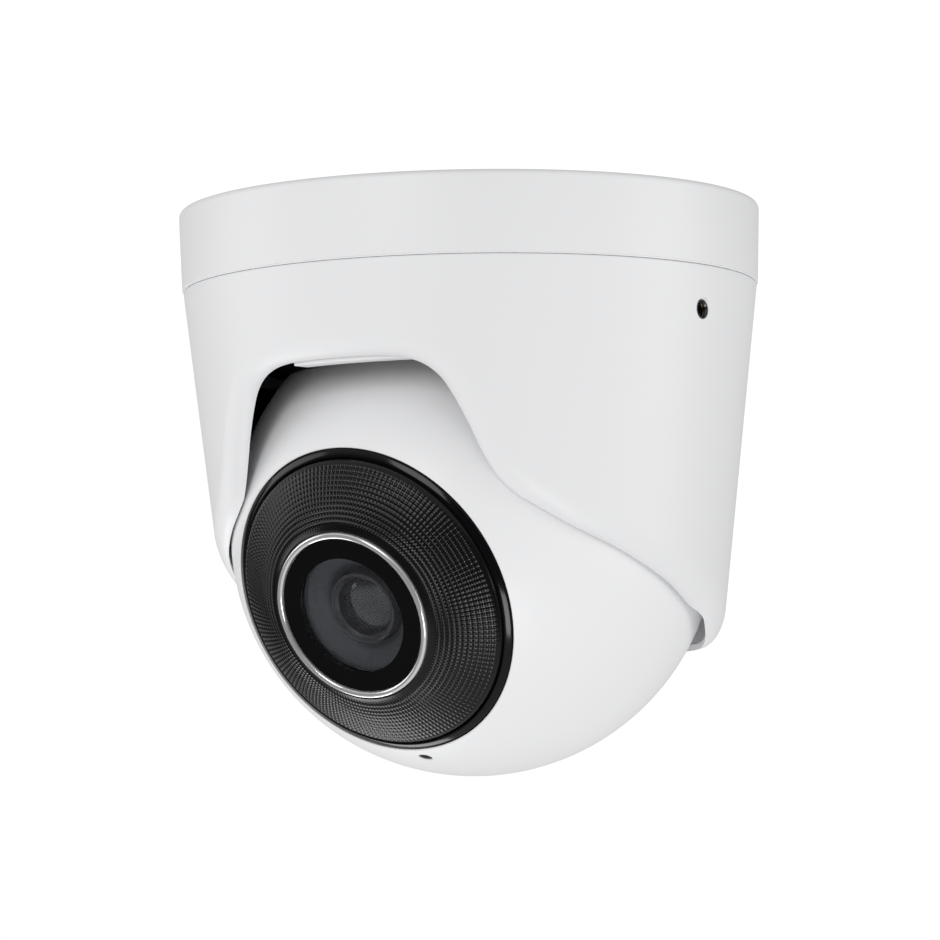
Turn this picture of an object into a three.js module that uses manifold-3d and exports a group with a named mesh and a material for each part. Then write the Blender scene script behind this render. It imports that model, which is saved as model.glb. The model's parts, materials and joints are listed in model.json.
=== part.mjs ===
// Dome camera of the turret kind: a white ball with a black lens face, held in a tapered white housing
// that turns under a round mounting base. Millimetres, +Z up. The origin is the centre of the mounting
// face on top of the base, and the camera hangs below it with the housing's arch towards -Y.
import * as THREE from 'three';
import { mergeVertices } from 'three/addons/utils/BufferGeometryUtils.js';
import Module from 'manifold-3d';

const wasm = await Module();
wasm.setup();

// ---------------------------------------------------------------- driving dimensions

// Gap between pieces that rest on each other, and the running gap of pieces that turn on each other.
const seat = 0.3;
const running = 0.4;

// The ball.
const ballRadius = 53.8;
const ballWall = 2.4;
const headroom = 18.2;          // from the mounting face to the top of the ball
const discRadius = 34.95;       // opening for the black lens face
const rearJointDepth = 30.9;    // behind the ball's centre, where the rear cap meets the shell

// How the ball stands: turned in the housing, and tilted down from level.
const lensTurn = -5;
const lensTilt = 24;

// The housing: a cone round the ball with an arched opening.
const housingClearance = 3.6;   // ball surface to the housing's outer surface, level with the ball's centre
const housingTaper = 0.116;     // radius lost for each millimetre of height
const housingWall = 2.3;
const housingTop = -17.9;
const lipGap = 0.9;             // rolled lip to ball
const lipThickness = 1.4;
const archLipDepth = 4.2;
const rearLipDepth = 7.5;
const archLipRoll = 4.6;
const rearLipRoll = 7.6;

// Edge of the opening on the right half: degrees round from the front, and height over the ball's centre.
const openingEdge = [
  [0, 34], [12.5, 33.7], [19, 32.3], [23.3, 29.5], [26.3, 25.4], [29.6, 19.3], [32.4, 13.6],
  [35.8, 8.2], [40.4, 3.9], [45.8, 0.9], [53.8, -3], [63.9, -6.8], [74.2, -10.8], [83.2, -14.2],
  [91, -17.2], [100, -20], [110, -23.6], [125, -26], [180, -26],
];

// The mounting base: a plate with a short skirt, and a neck that the housing turns on.
const plateThickness = 3;
const skirtBottom = -17.5;
const skirtWall = 2.2;
const skirtStep = 0.2;          // skirt beyond the housing at the seam
const skirtFlare = 0.65;        // top of the skirt beyond its bottom
const neckSpace = 3.3;          // neck to the housing's inner wall, at the lock screws
const neckWall = 2.2;
const neckBottom = -33;
const grooveDepth = 0.8;
const cableHoleRadius = 15;
const grommetBore = 7;
const fixingHoleRadius = 2.3;
const fixingCircle = 42;
const fixingCount = 3;

// Lock screws, one at each side of the housing.
const lockAngle = 83.7;
const lockHeight = -27.45;
const lockHoleRadius = 2.15;
const lockScrewRadius = 1.75;
const insertRadius = 3;
const insertRecess = 1.3;
const bossRadius = 4.1;

// The lens face.
const faceInset = 0.4;          // face surface below the ball's surface
const rimWidth = 1.7;
const rimThickness = 1.6;
const bezelThickness = 2;
const chromeRadius = 18.87;
const chromeWidth = 1.2;
const windowThickness = 1.1;
const windowInset = 0.15;       // window below the face at the chrome ring
const maskWidth = 4.3;
const gasketWidth = 2.9;
const ledClearance = 1;
const ledRadius = 2.5;
const ledHeight = 3.6;
const ledFlange = 0.4;
const microphoneAngle = 44.2;   // from the lens axis, straight below it
const microphoneHole = 1.3;
const microphoneRadius = 3;
const microphoneHeight = 3.6;
const microphoneDepth = 7.8;    // the boot's cup below the ball's surface

// The lens and its boards.
const barrelRadius = 8;
const barrelLength = 25;
const lockRingHeight = 1.6;
const frontGlassRadius = 6.2;
const rearGlassRadius = 4.4;
const holderWall = 2;
const holderHalf = 12;
const postRadius = 2.2;
const postSpacing = 15;
const boardThickness = 1.6;
const sensorBoardHalf = 18;
const filterTravel = 7;         // from one filter window to the next
const filterWindow = 3;
const mainBoardDepth = 12;      // behind the ball's centre
const mainBoardMargin = 0.9;
const processorHalf = 8;
const sinkRadius = 26;
const sinkHeight = 12;
const finCount = 7;
const glandRadius = 11;
const glandBore = 3.6;
const glandLength = 12;
const rearScrewCircle = 34;
const rearScrewSeat = 4.6;      // behind the joint
const sealThickness = 1;
const rearScrewCount = 3;

// Facets round the large, the middling and the small round pieces.
const wideFacets = 32;
const midFacets = 24;
const smallFacets = 14;

// ---------------------------------------------------------------- worked-out places

const ballCentre = -(headroom + ballRadius);
const ballInside = ballRadius - ballWall;
const faceRadius = ballRadius - faceInset;
const rad = THREE.MathUtils.degToRad;

const coneRadius = (z) => ballRadius + housingClearance + housingTaper * (z - ballCentre);
const neckRadius = coneRadius(lockHeight) - housingWall - neckSpace;

// Corner radius of a faceted ring whose flats lie at the radius given.
const roundIn = (radius, facets) => radius / Math.cos(Math.PI / facets);
const leg = (radius, side) => Math.sqrt(Math.max(radius ** 2 - side ** 2, 0));

// ---------------------------------------------------------------- materials

const finish = (color, roughness, metalness = 0) => new THREE.MeshStandardMaterial({ color, roughness, metalness });
const whitePaint = () => finish(0xe6e6e6, 0.45);
const blackPlastic = () => finish(0x1a1b1d, 0.55);
const glossBlack = () => finish(0x101113, 0.12);
const rubber = () => finish(0x232323, 0.85);
const steel = () => finish(0xb4b6b8, 0.3, 1);
const aluminium = () => finish(0xc8cacc, 0.4, 1);
const brass = () => finish(0xb8923c, 0.35, 1);
const glass = () => finish(0x20242a, 0.05);
const circuitBoard = () => finish(0x1d5a34, 0.5);
const chipBlack = () => finish(0x242628, 0.6);

// ---------------------------------------------------------------- solids

// Makes a closed solid of a geometry whose faces may meet in doubled vertices or point inwards.
function solidOf(geometry) {
  const bare = geometry.index ? geometry.toNonIndexed() : geometry.clone();
  bare.deleteAttribute('normal');
  bare.deleteAttribute('uv');
  const merged = mergeVertices(bare, 1e-4);
  const vertProperties = new Float32Array(merged.attributes.position.array);
  const corner = (i) => new THREE.Vector3().fromArray(vertProperties, 3 * i);
  const triangles = [];
  let volume = 0;
  for (let i = 0; i < merged.index.count; i += 3) {
    const [a, b, c] = [0, 1, 2].map((k) => merged.index.getX(i + k));
    if (a !== b && b !== c && c !== a) {
      triangles.push([a, b, c]);
      volume += corner(a).dot(corner(b).cross(corner(c)));
    }
  }
  const turned = volume < 0 ? triangles.map(([a, b, c]) => [a, c, b]) : triangles;
  const triVerts = new Uint32Array(turned.flat());
  return new wasm.Manifold(new wasm.Mesh({ numProp: 3, vertProperties, triVerts }));
}

function geometryOf(solid) {
  const { vertProperties, triVerts, numProp } = solid.getMesh();
  const geometry = new THREE.BufferGeometry();
  const positions = new Float32Array((vertProperties.length / numProp) * 3);
  for (let i = 0; i < positions.length / 3; i += 1) {
    positions.set(vertProperties.subarray(i * numProp, i * numProp + 3), 3 * i);
  }
  geometry.setAttribute('position', new THREE.BufferAttribute(positions, 3));
  geometry.setIndex(new THREE.BufferAttribute(triVerts, 1));
  geometry.computeVertexNormals();
  return geometry;
}

// Turns a closed outline of [radius, height] points round the Z axis.
function turned(outline, facets = wideFacets) {
  const points = [...outline, outline[0]].map(([r, h]) => new THREE.Vector2(r, h));
  return solidOf(new THREE.LatheGeometry(points, facets).rotateX(Math.PI / 2));
}

const tube = (inner, outer, low, high, facets = wideFacets) => (
  turned([[inner, low], [outer, low], [outer, high], [inner, high]], facets)
);
const disc = (radius, low, high, facets = smallFacets) => turned([[0, low], [radius, low], [radius, high], [0, high]], facets);

function block(width, depth, low, high, x = 0, y = 0) {
  const box = new THREE.BoxGeometry(width, depth, high - low);
  return solidOf(box.translate(x, y, (low + high) / 2));
}

// Points of an arc round the origin in the [radius, height] plane, by angle from the height axis.
function arc(radius, from, to, steps) {
  return Array.from({ length: steps + 1 }, (_, i) => {
    const angle = from + ((to - from) * i) / steps;
    return [radius * Math.sin(angle), radius * Math.cos(angle)];
  });
}

// A solid along +Z laid along the radius that points `angle` degrees round from the front.
const alongRadius = (solid, angle, z) => solid.rotate([90, 0, angle]).translate([0, 0, z]);

function piece(name, solid, material) {
  const mesh = new THREE.Mesh(geometryOf(solid), material);
  mesh.name = name;
  return mesh;
}

// ---------------------------------------------------------------- mounting base

function mountingBase() {
  const seamRadius = coneRadius(skirtBottom) + skirtStep;
  const top = seamRadius + skirtFlare;
  const edge = 1.2;
  const grooveHalf = lockHoleRadius + seat;
  const outline = [
    [cableHoleRadius, 0], [top - edge, 0], [top, -edge], [seamRadius, skirtBottom],
    [seamRadius - skirtWall, skirtBottom], [top - skirtWall, -plateThickness],
    [neckRadius, -plateThickness], [neckRadius, lockHeight + grooveHalf + grooveDepth],
    [neckRadius - grooveDepth, lockHeight + grooveHalf], [neckRadius - grooveDepth, lockHeight - grooveHalf],
    [neckRadius, lockHeight - grooveHalf - grooveDepth], [neckRadius, neckBottom],
    [neckRadius - neckWall, neckBottom], [neckRadius - neckWall, -plateThickness],
    [cableHoleRadius, -plateThickness],
  ];
  let solid = turned(outline);
  for (let i = 0; i < fixingCount; i += 1) {
    const angle = rad(90 + (360 * i) / fixingCount);
    const hole = disc(fixingHoleRadius, -2 * plateThickness, plateThickness);
    solid = solid.subtract(hole.translate([fixingCircle * Math.cos(angle), fixingCircle * Math.sin(angle), 0]));
  }
  return piece('mounting_base', solid, whitePaint());
}

// A rubber ring with a groove that the plate's edge sits in.
function cableGrommet() {
  const flange = cableHoleRadius + 2;
  const inPlate = cableHoleRadius - seat;
  const below = -plateThickness - seat;
  const outline = [
    [grommetBore, -0.2], [inPlate, -0.2], [inPlate, below], [flange, below],
    [flange, below - 2], [grommetBore, below - 2],
  ];
  return piece('cable_grommet', turned(outline, midFacets), rubber());
}

// ---------------------------------------------------------------- ring and saddle between base and ball

function glideRing() {
  const top = housingTop - 1.2;
  const bottom = lockHeight + bossRadius + 0.8;
  const outer = coneRadius(bottom) - housingWall - seat;
  return piece('glide_ring', tube(neckRadius + seat, outer, bottom, top), finish(0xd8d8d2, 0.5));
}

const collarMargin = 6.5;       // collar beyond the bowl's edge
const saddleFrom = rad(21);
const saddleTo = rad(50);
const saddleThickness = 3;
const saddleGap = 0.1;
const springHeight = 2.4;
const saddleOuter = (ballRadius + saddleGap) * Math.sin(saddleTo) + collarMargin;
const saddleTop = -(plateThickness + springHeight + 2 * seat);

// A dish under the base that presses on the top of the ball, with a collar up to the spring.
function socketSaddle() {
  const lift = ([r, h]) => [r, h + ballCentre];
  const steps = 5;
  const stepFacets = (2 * Math.PI * steps) / (saddleTo - saddleFrom);
  const bowl = roundIn(roundIn(ballRadius + saddleGap, wideFacets), stepFacets);
  const inner = arc(bowl, saddleFrom, saddleTo, steps).map(lift);
  const outer = arc(bowl + saddleThickness, rad(36), saddleFrom, 3).map(lift);
  const foot = inner[inner.length - 1][1];
  const collar = saddleOuter - saddleThickness;
  const outline = [
    ...inner, [saddleOuter, foot], [saddleOuter, saddleTop], [collar, saddleTop],
    [collar, outer[0][1] - saddleThickness], ...outer,
  ];
  return piece('socket_saddle', turned(outline), blackPlastic());
}

function pressureSpring() {
  const outline = tube(saddleOuter - saddleThickness, saddleOuter, saddleTop + seat, -plateThickness - seat);
  return piece('pressure_spring', outline, steel());
}

// ---------------------------------------------------------------- housing

const mirroredEdge = [
  ...openingEdge.slice(1).reverse().map(([angle, height]) => [-angle, height]),
  ...openingEdge,
];
const unrolledRadius = ballRadius + housingClearance;

// The opening's edge, evenly spaced, as positions on the unrolled cone with a direction into the wall.
function edgeStations(count) {
  const points = mirroredEdge.map(([angle, h]) => new THREE.Vector2(unrolledRadius * rad(angle), h + ballCentre));
  const curve = new THREE.SplineCurve(points);
  curve.arcLengthDivisions = 800;
  return Array.from({ length: count }, (_, i) => {
    const place = curve.getPointAt(i / count);
    const along = curve.getTangentAt(i / count);
    const up = i === 0 ? new THREE.Vector2(0, 1) : new THREE.Vector2(-along.y, along.x);
    return { place, up };
  });
}

// How far the lip rolls in and down the wall, from the arch round to the rear.
function lipShape(place) {
  const rearward = THREE.MathUtils.smoothstep(Math.abs(place.x) / unrolledRadius, rad(50), rad(100));
  const over = place.y - ballCentre;
  const widest = Math.max(leg(ballRadius, over), leg(ballRadius, over + lipThickness));
  const room = coneRadius(place.y) - widest - lipGap;
  const depth = Math.min(THREE.MathUtils.lerp(archLipDepth, rearLipDepth, rearward), room);
  return { depth, roll: THREE.MathUtils.lerp(archLipRoll, rearLipRoll, rearward) };
}

const onCone = (x, z, depth) => {
  const angle = x / unrolledRadius;
  const r = coneRadius(z) - depth;
  return new THREE.Vector3(r * Math.sin(angle), -r * Math.cos(angle), z);
};

// A ring of points along the rolled lip, at an angle through its quarter turn. The outer skin starts at
// depth 0 and the inner skin at the wall's thickness; `tip` is how far the skin's end stands from the
// edge, and `rise` the share of the way up to the housing's top.
function lipRing(stations, quarter, sink, tip, rise = 0) {
  return stations.map(({ place, up }) => {
    const { depth, roll } = lipShape(place);
    const back = tip + (roll - tip) * (1 - Math.sin(quarter));
    const inward = sink + (depth - sink) * (1 - Math.cos(quarter));
    const x = place.x + up.x * back;
    const z = place.y + up.y * back;
    return onCone(x, THREE.MathUtils.lerp(z, housingTop, rise), inward);
  });
}

// Joins rings of points, each to the next and the last to the first, into one closed surface.
function ringedSolid(rings) {
  const count = rings[0].length;
  const positions = rings.flat().flatMap((point) => point.toArray());
  const index = [];
  rings.forEach((_, j) => {
    const here = j * count;
    const next = ((j + 1) % rings.length) * count;
    for (let i = 0; i < count; i += 1) {
      const k = (i + 1) % count;
      index.push(here + i, next + i, next + k, here + i, next + k, here + k);
    }
  });
  const geometry = new THREE.BufferGeometry();
  geometry.setAttribute('position', new THREE.BufferAttribute(new Float32Array(positions), 3));
  geometry.setIndex(index);
  return solidOf(geometry);
}

const lockInner = neckRadius + running;

function housingCover() {
  const stations = edgeStations(60);
  const outer = [
    ...[1, 0.66, 0.33].map((rise) => lipRing(stations, 0, 0, 0, rise)),
    ...[0, 30, 60, 90].map((angle) => lipRing(stations, rad(angle), 0, 0)),
  ];
  const inner = [
    ...[90, 45, 0].map((angle) => lipRing(stations, rad(angle), housingWall, lipThickness)),
    ...[0.33, 0.66, 1].map((rise) => lipRing(stations, 0, housingWall, lipThickness, rise)),
  ];
  let solid = ringedSolid([...outer, ...inner]);
  const wallAtLock = coneRadius(lockHeight);
  for (const side of [-1, 1]) {
    const boss = disc(bossRadius, lockInner, wallAtLock - 0.5 * housingWall);
    const pocket = disc(insertRadius + seat, lockInner - 1, wallAtLock - insertRecess);
    const hole = disc(lockHoleRadius, lockInner - 1, wallAtLock + 2);
    solid = solid.add(alongRadius(boss, side * lockAngle, lockHeight));
    solid = solid.subtract(alongRadius(pocket.add(hole), side * lockAngle, lockHeight));
  }
  return piece('housing_cover', solid, whitePaint());
}

function lockScrew(name, side) {
  const tip = neckRadius - grooveDepth + seat;
  const solid = disc(lockScrewRadius, tip, coneRadius(lockHeight) - insertRecess - 0.4)
    .subtract(disc(0.8, tip + 1.5, coneRadius(lockHeight), 6));
  return piece(name, alongRadius(solid, side * lockAngle, lockHeight), steel());
}

function threadInsert(name, side) {
  const outerEnd = coneRadius(lockHeight) - insertRecess - seat;
  const solid = tube(lockScrewRadius + seat, insertRadius, lockInner + 0.2, outerEnd, smallFacets);
  return piece(name, alongRadius(solid, side * lockAngle, lockHeight), brass());
}

const linerThickness = 1;
const linerTop = -35.5;
const linerBottom = 7.8;        // over the ball's centre

// A thin black sleeve inside the housing, open where the arch is.
function innerLiner() {
  const outerRadius = (z) => coneRadius(z) - housingWall - seat;
  const low = ballCentre + linerBottom;
  const outline = [
    [outerRadius(low), low], [outerRadius(linerTop), linerTop],
    [outerRadius(linerTop) - linerThickness, linerTop], [outerRadius(low) - linerThickness, low],
  ];
  const halfGap = rad(44);
  const reach = 2 * coneRadius(0);
  const wedge = new THREE.Shape([
    new THREE.Vector2(0, 0), new THREE.Vector2(-reach * Math.sin(halfGap), -reach * Math.cos(halfGap)),
    new THREE.Vector2(0, -reach), new THREE.Vector2(reach * Math.sin(halfGap), -reach * Math.cos(halfGap)),
  ]);
  const cut = new THREE.ExtrudeGeometry(wedge, { depth: 200, bevelEnabled: false }).translate(0, 0, -150);
  return piece('inner_liner', turned(outline, 40).subtract(solidOf(cut)), blackPlastic());
}

const ledgeAngles = [-14.2, 19];
const ledgeReach = 4.5;
const ledgeDrop = 0.5;          // shelf below the top of the arch's edge

// A short white shelf inside the top of the arch.
function archLedge() {
  const high = ballCentre + openingEdge[0][1] + 4.6;
  const low = ballCentre + openingEdge[0][1] - ledgeDrop;
  const outer = coneRadius(low) - archLipDepth - 2 * seat;
  const ring = tube(outer - ledgeReach, outer, low, high, 96);
  const reach = 1.5 * outer;
  const [from, to] = ledgeAngles.map(rad);
  const sector = new THREE.Shape([
    new THREE.Vector2(0, 0), new THREE.Vector2(reach * Math.sin(from), -reach * Math.cos(from)),
    new THREE.Vector2(reach * Math.sin(to), -reach * Math.cos(to)),
  ]);
  const keep = new THREE.ExtrudeGeometry(sector, { depth: 200, bevelEnabled: false }).translate(0, 0, -150);
  return piece('arch_ledge', ring.intersect(solidOf(keep)), whitePaint());
}

// ---------------------------------------------------------------- ball shell, with the lens axis along +Z

const rearJoint = -rearJointDepth;
const jointGap = sealThickness + 2 * seat;
const screwBossRadius = 4.4;
const webReach = ballRadius - rearScrewCircle;
const screwShank = 1.5;
const screwHead = 3;
const screwHeadHeight = 2.4;
const screwLength = 12;
const lugDepth = 5;
const lugInner = ballInside - 6;

// A ball that ends inside the wall, which trims what is added to the wall's inner side.
const midWall = turned(arc(ballRadius - 1, 0, Math.PI, 12), 24);

const roundAxis = (solid, angle, radius) => solid.translate([radius, 0, 0]).rotate([0, 0, angle]);
const rearScrewAngles = Array.from({ length: rearScrewCount }, (_, i) => 90 + (360 * i) / rearScrewCount);
const toMicrophone = (solid) => solid.rotate([microphoneAngle, 0, 0]);

function ballShell() {
  const front = Math.asin(discRadius / ballRadius);
  const back = Math.acos((rearJoint + jointGap / 2) / ballRadius);
  const innerFront = Math.asin(discRadius / ballInside);
  const innerBack = Math.acos((rearJoint + jointGap / 2) / ballInside);
  let solid = turned([...arc(ballRadius, front, back, 10), ...arc(ballInside, innerBack, innerFront, 7)]);
  const boardTop = -mainBoardDepth + seat;
  for (const angle of rearScrewAngles) {
    const bossLow = rearJoint + jointGap / 2;
    const web = block(webReach, 6, bossLow, bossLow + 8, webReach / 2);
    const boss = disc(screwBossRadius, bossLow, rearJoint + screwLength).add(web);
    const lug = block(8, 8, boardTop, boardTop + lugDepth, lugInner + 4).rotate([0, 0, angle + 60]);
    const inward = roundAxis(boss, angle, rearScrewCircle).add(lug).intersect(midWall);
    const hole = disc(screwShank + seat, rearJoint - 1, rearJoint + screwLength - 2, 12);
    solid = solid.add(inward).subtract(roundAxis(hole, angle, rearScrewCircle));
  }
  const hole = disc(microphoneHole, ballInside - 2, ballRadius + 1, 12);
  return piece('ball_shell', solid.subtract(toMicrophone(hole)), whitePaint());
}

function rearCap() {
  const from = Math.acos((rearJoint - jointGap / 2) / ballRadius);
  const hole = glandRadius + running;
  const to = Math.PI - Math.asin(hole / ballRadius);
  const innerTo = Math.PI - Math.asin(hole / ballInside);
  const innerFrom = Math.acos((rearJoint - jointGap / 2) / ballInside);
  let solid = turned([...arc(ballRadius, from, to, 8), ...arc(ballInside, innerTo, innerFrom, 6)]);
  for (const angle of rearScrewAngles) {
    const headTop = rearJoint - rearScrewSeat;
    const pad = disc(screwBossRadius, -ballRadius, rearJoint - jointGap / 2);
    const counterbore = disc(screwHead + seat, -ballRadius - 1, headTop);
    const hole = disc(screwShank + seat, -ballRadius, 0, 12);
    solid = solid.add(roundAxis(pad, angle, rearScrewCircle).intersect(midWall));
    solid = solid.subtract(roundAxis(counterbore.add(hole), angle, rearScrewCircle));
  }
  return piece('rear_cap', solid, whitePaint());
}

function rearScrew(name, angle) {
  const headTop = rearJoint - rearScrewSeat - seat;
  const solid = disc(screwHead, headTop - screwHeadHeight, headTop, 16)
    .add(disc(screwShank, headTop - 0.1, rearJoint + screwLength - 3, 12))
    .subtract(disc(1.3, headTop - screwHeadHeight - 1, headTop - 1, 6));
  return piece(name, roundAxis(solid, angle, rearScrewCircle), steel());
}

// A flat rubber ring between the shell and the cap.
function shellSeal() {
  const outer = leg(ballRadius, rearJoint) - 0.7;
  const solid = tube(outer - 1.5, outer, rearJoint - sealThickness / 2, rearJoint + sealThickness / 2);
  return piece('shell_seal', solid, rubber());
}

// ---------------------------------------------------------------- lens face

const bootCupRadius = microphoneRadius + seat + 0.9;
const bootCupTop = ballRadius - microphoneDepth;
const bootNeckRadius = microphoneHole + 0.9;
const rimOuter = discRadius - seat;
const rimInner = rimOuter - rimWidth;
const bezelOuter = rimInner - seat;
const bezelInner = chromeRadius + seat;
const chromeInner = chromeRadius - chromeWidth;
const frameTop = leg(faceRadius, rimOuter) - rimThickness - seat;
const ledBoardThickness = 1.2;
const rimSeatInner = bezelOuter - 1.3;
const ledCircle = (chromeRadius + rimSeatInner) / 2;
const ledRoof = leg(faceRadius - bezelThickness, ledCircle + ledRadius + ledFlange) - ledClearance;
const frameFloor = ledRoof - ledHeight - ledBoardThickness - 2 * seat;
const frameThickness = 2.6;
const frameBottom = frameFloor - frameThickness;
const windowFront = leg(faceRadius, chromeRadius) - windowInset;
const windowBack = windowFront - windowThickness;
const windowRadius = chromeInner - seat;
const maskBore = windowRadius - maskWidth;
const maskThickness = 0.4;
const gasketThickness = 1.2;
const maskBack = windowBack - seat - maskThickness;
const towerTop = maskBack - 2 * seat - gasketThickness;
const towerBore = windowRadius - gasketWidth;

const arcBetween = (radius, innerLeg, outerLeg, steps) => (
  arc(radius, Math.asin(innerLeg / radius), Math.asin(outerLeg / radius), steps)
);

function frontBezel() {
  const back = faceRadius - bezelThickness;
  const skirt = bezelOuter - 1;
  const outline = [
    ...arcBetween(faceRadius, bezelInner, bezelOuter, 4), [bezelOuter, frameTop + seat],
    [skirt, frameTop + seat], ...arcBetween(back, bezelInner, skirt, 3).reverse(),
  ];
  return piece('front_bezel', turned(outline), finish(0x222326, 0.35));
}

function faceRim() {
  const outline = [...arcBetween(faceRadius, rimInner, rimOuter, 2), [rimOuter, frameTop + seat], [rimInner, frameTop + seat]];
  return piece('face_rim', turned(outline), glossBlack());
}

function chromeRing() {
  const top = leg(faceRadius, chromeRadius) + 0.35;
  const outline = [
    [chromeInner, towerTop + seat], [chromeRadius, towerTop + seat], [chromeRadius, top - 0.4],
    [chromeRadius - 0.35, top], [chromeInner + 0.35, top], [chromeInner, top - 0.4],
  ];
  return piece('chrome_ring', turned(outline, midFacets), finish(0xe8e8e8, 0.1, 1));
}

// The carrier behind the face: a floor, a rim seat, a tower for the window and posts for the boards.
function frontFrame() {
  const towerOuter = chromeRadius;
  const outline = [
    [towerBore, towerTop - 1.4], [towerBore, towerTop], [towerOuter, towerTop], [towerOuter, frameFloor],
    [rimSeatInner, frameFloor], [rimSeatInner, frameTop], [rimOuter, frameTop], [rimOuter, frameBottom],
    [towerOuter - 1.6, frameBottom], [towerOuter - 1.6, towerTop - 1.4],
  ];
  let solid = turned(outline);
  for (const [x, y] of [[1, 1], [-1, 1], [-1, -1], [1, -1]]) {
    const post = disc(postRadius, sensorBoardTop + seat, frameBottom + 0.5, 12);
    solid = solid.add(post.translate([x * postSpacing, y * postSpacing, 0]));
  }
  // Room for the microphone's boot.
  const notch = disc(bootCupRadius + running, 0, bootCupTop + running).add(disc(bootNeckRadius + running, 0, ballRadius));
  return piece('front_frame', solid.subtract(toMicrophone(notch)), blackPlastic());
}

// ---------------------------------------------------------------- infrared lamps

const ledBoardLow = frameFloor + seat;
const ledBoardTop = ledBoardLow + ledBoardThickness;

function ledBoard() {
  const outer = rimSeatInner - seat;
  return piece('led_board', tube(chromeRadius + seat + 0.7, outer, ledBoardLow, ledBoardTop), circuitBoard());
}

function infraredLed(name, angle) {
  const low = ledBoardTop + seat;
  const flangeTop = low + 0.8;
  const flangeRadius = ledRadius + ledFlange;
  const dome = arc(ledRadius, rad(90), 0, 4).map(([r, h]) => [r, h + low + ledHeight - ledRadius]);
  const outline = [[0, low], [flangeRadius, low], [flangeRadius, flangeTop], [ledRadius, flangeTop], ...dome];
  return piece(name, roundAxis(turned(outline, 14), angle, ledCircle), finish(0x2a1c24, 0.1));
}

// ---------------------------------------------------------------- lens

const barrelFront = towerTop - 0.6;
const barrelBack = barrelFront - barrelLength;
const holderTop = barrelFront - 12;
const slotThickness = 2;
const holderBase = barrelBack - 1 - slotThickness;
const sensorPocket = 2.4;
const holderBottom = holderBase - 1.4 - sensorPocket;
const sensorBoardTop = holderBottom - seat;

// A dark cone between the window's edge and the lens, hugging the barrel at its small end.
function lensShroud() {
  const small = barrelRadius + seat;
  const low = barrelFront - 4;
  const outline = [
    [small, low], [small + 1, low], [towerBore - seat, towerTop - 1], [towerBore - seat, towerTop],
    [towerBore - seat - 1, towerTop], [small + 0.2, low + 1.2],
  ];
  return piece('lens_shroud', turned(outline, midFacets), finish(0x3c4046, 0.6));
}

// A foam collar round the barrel under the shroud, that keeps lamp light out of the lens.
function lightBaffle() {
  const top = barrelFront - 4 - seat;
  const low = holderTop + lockRingHeight + 2 * seat;
  return piece('light_baffle', tube(barrelRadius + seat, barrelRadius + 3.5, low, top, midFacets), rubber());
}

function lensBarrel() {
  const mouth = frontGlassRadius + seat;
  const bore = rearGlassRadius + seat;
  const outline = [
    [bore, barrelBack], [barrelRadius, barrelBack], [barrelRadius, barrelFront], [mouth + 0.6, barrelFront],
    [mouth, barrelFront - 1], [mouth, barrelFront - 5], [bore - 1, barrelFront - 5],
    [bore - 1, barrelBack + 3], [bore, barrelBack + 3],
  ];
  return piece('lens_barrel', turned(outline, midFacets), finish(0x1b1c1f, 0.4, 0.6));
}

function lensGlass(name, radius, low, crown) {
  const curve = (radius ** 2 + crown ** 2) / (2 * crown);
  const rimHeight = low + 2.4;
  const cap = arcBetween(curve, 0, radius, 4).reverse().map(([r, h]) => [r, h - curve + crown + rimHeight]);
  return piece(name, turned([[0, low], [radius, low], ...cap], smallFacets), glass());
}

function lensHolder() {
  const bore = barrelRadius + seat;
  const sleeve = tube(bore, bore + holderWall, holderBase + slotThickness, holderTop, midFacets);
  const walls = block(2 * holderHalf, 2 * holderHalf, holderBottom, holderBase + slotThickness + 1.4);
  const slot = block(2 * holderHalf + 2, filterWidth + 2 * seat, holderBase, holderBase + slotThickness);
  const pocket = block(2 * holderHalf - 5, 2 * holderHalf - 5, holderBottom - 1, holderBottom + sensorPocket);
  const window = disc(rearGlassRadius + 1, holderBottom, holderBase + slotThickness + 2, 16);
  const throat = disc(bore, holderBase + slotThickness + 0.7, holderTop, midFacets);
  const solid = walls.add(sleeve).subtract(slot).subtract(pocket).subtract(window).subtract(throat);
  return piece('lens_holder', solid, blackPlastic());
}

function lensLockRing() {
  const low = holderTop + seat;
  return piece('lens_lock_ring', tube(barrelRadius + seat, barrelRadius + 2.4, low, low + lockRingHeight, midFacets), steel());
}

// ---------------------------------------------------------------- night filter slide

const filterWidth = 11;
const filterLength = 17;
const filterThickness = slotThickness - 2 * seat;
const filterLow = holderBase + seat;

// A plate with two windows. The first is behind the lens, and the second comes there at full travel.
function filterCarriage() {
  const plate = block(filterLength, filterWidth, filterLow, filterLow + filterThickness, -filterTravel / 2);
  const window = disc(filterWindow, filterLow - 1, filterLow + 3, smallFacets);
  const solid = plate.subtract(window).subtract(window.translate([-filterTravel, 0, 0]));
  return piece('filter_carriage', solid, finish(0x2b2b2e, 0.5));
}

function filterPane(name, x, color) {
  const solid = disc(filterWindow - seat, filterLow + 0.3, filterLow + filterThickness - 0.3, smallFacets);
  return piece(name, solid.translate([x, 0, 0]), finish(color, 0.05));
}

// ---------------------------------------------------------------- boards and what is on them

const mainBoardTop = -mainBoardDepth;
const mainBoardLow = mainBoardTop - boardThickness;

function sensorBoard() {
  const size = 2 * sensorBoardHalf;
  return piece('sensor_board', block(size, size, sensorBoardTop - boardThickness, sensorBoardTop), circuitBoard());
}

function imageSensor() {
  const low = sensorBoardTop + seat;
  return piece('image_sensor', block(12, 10, low, low + 1.4), finish(0x30363c, 0.2, 0.3));
}

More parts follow.
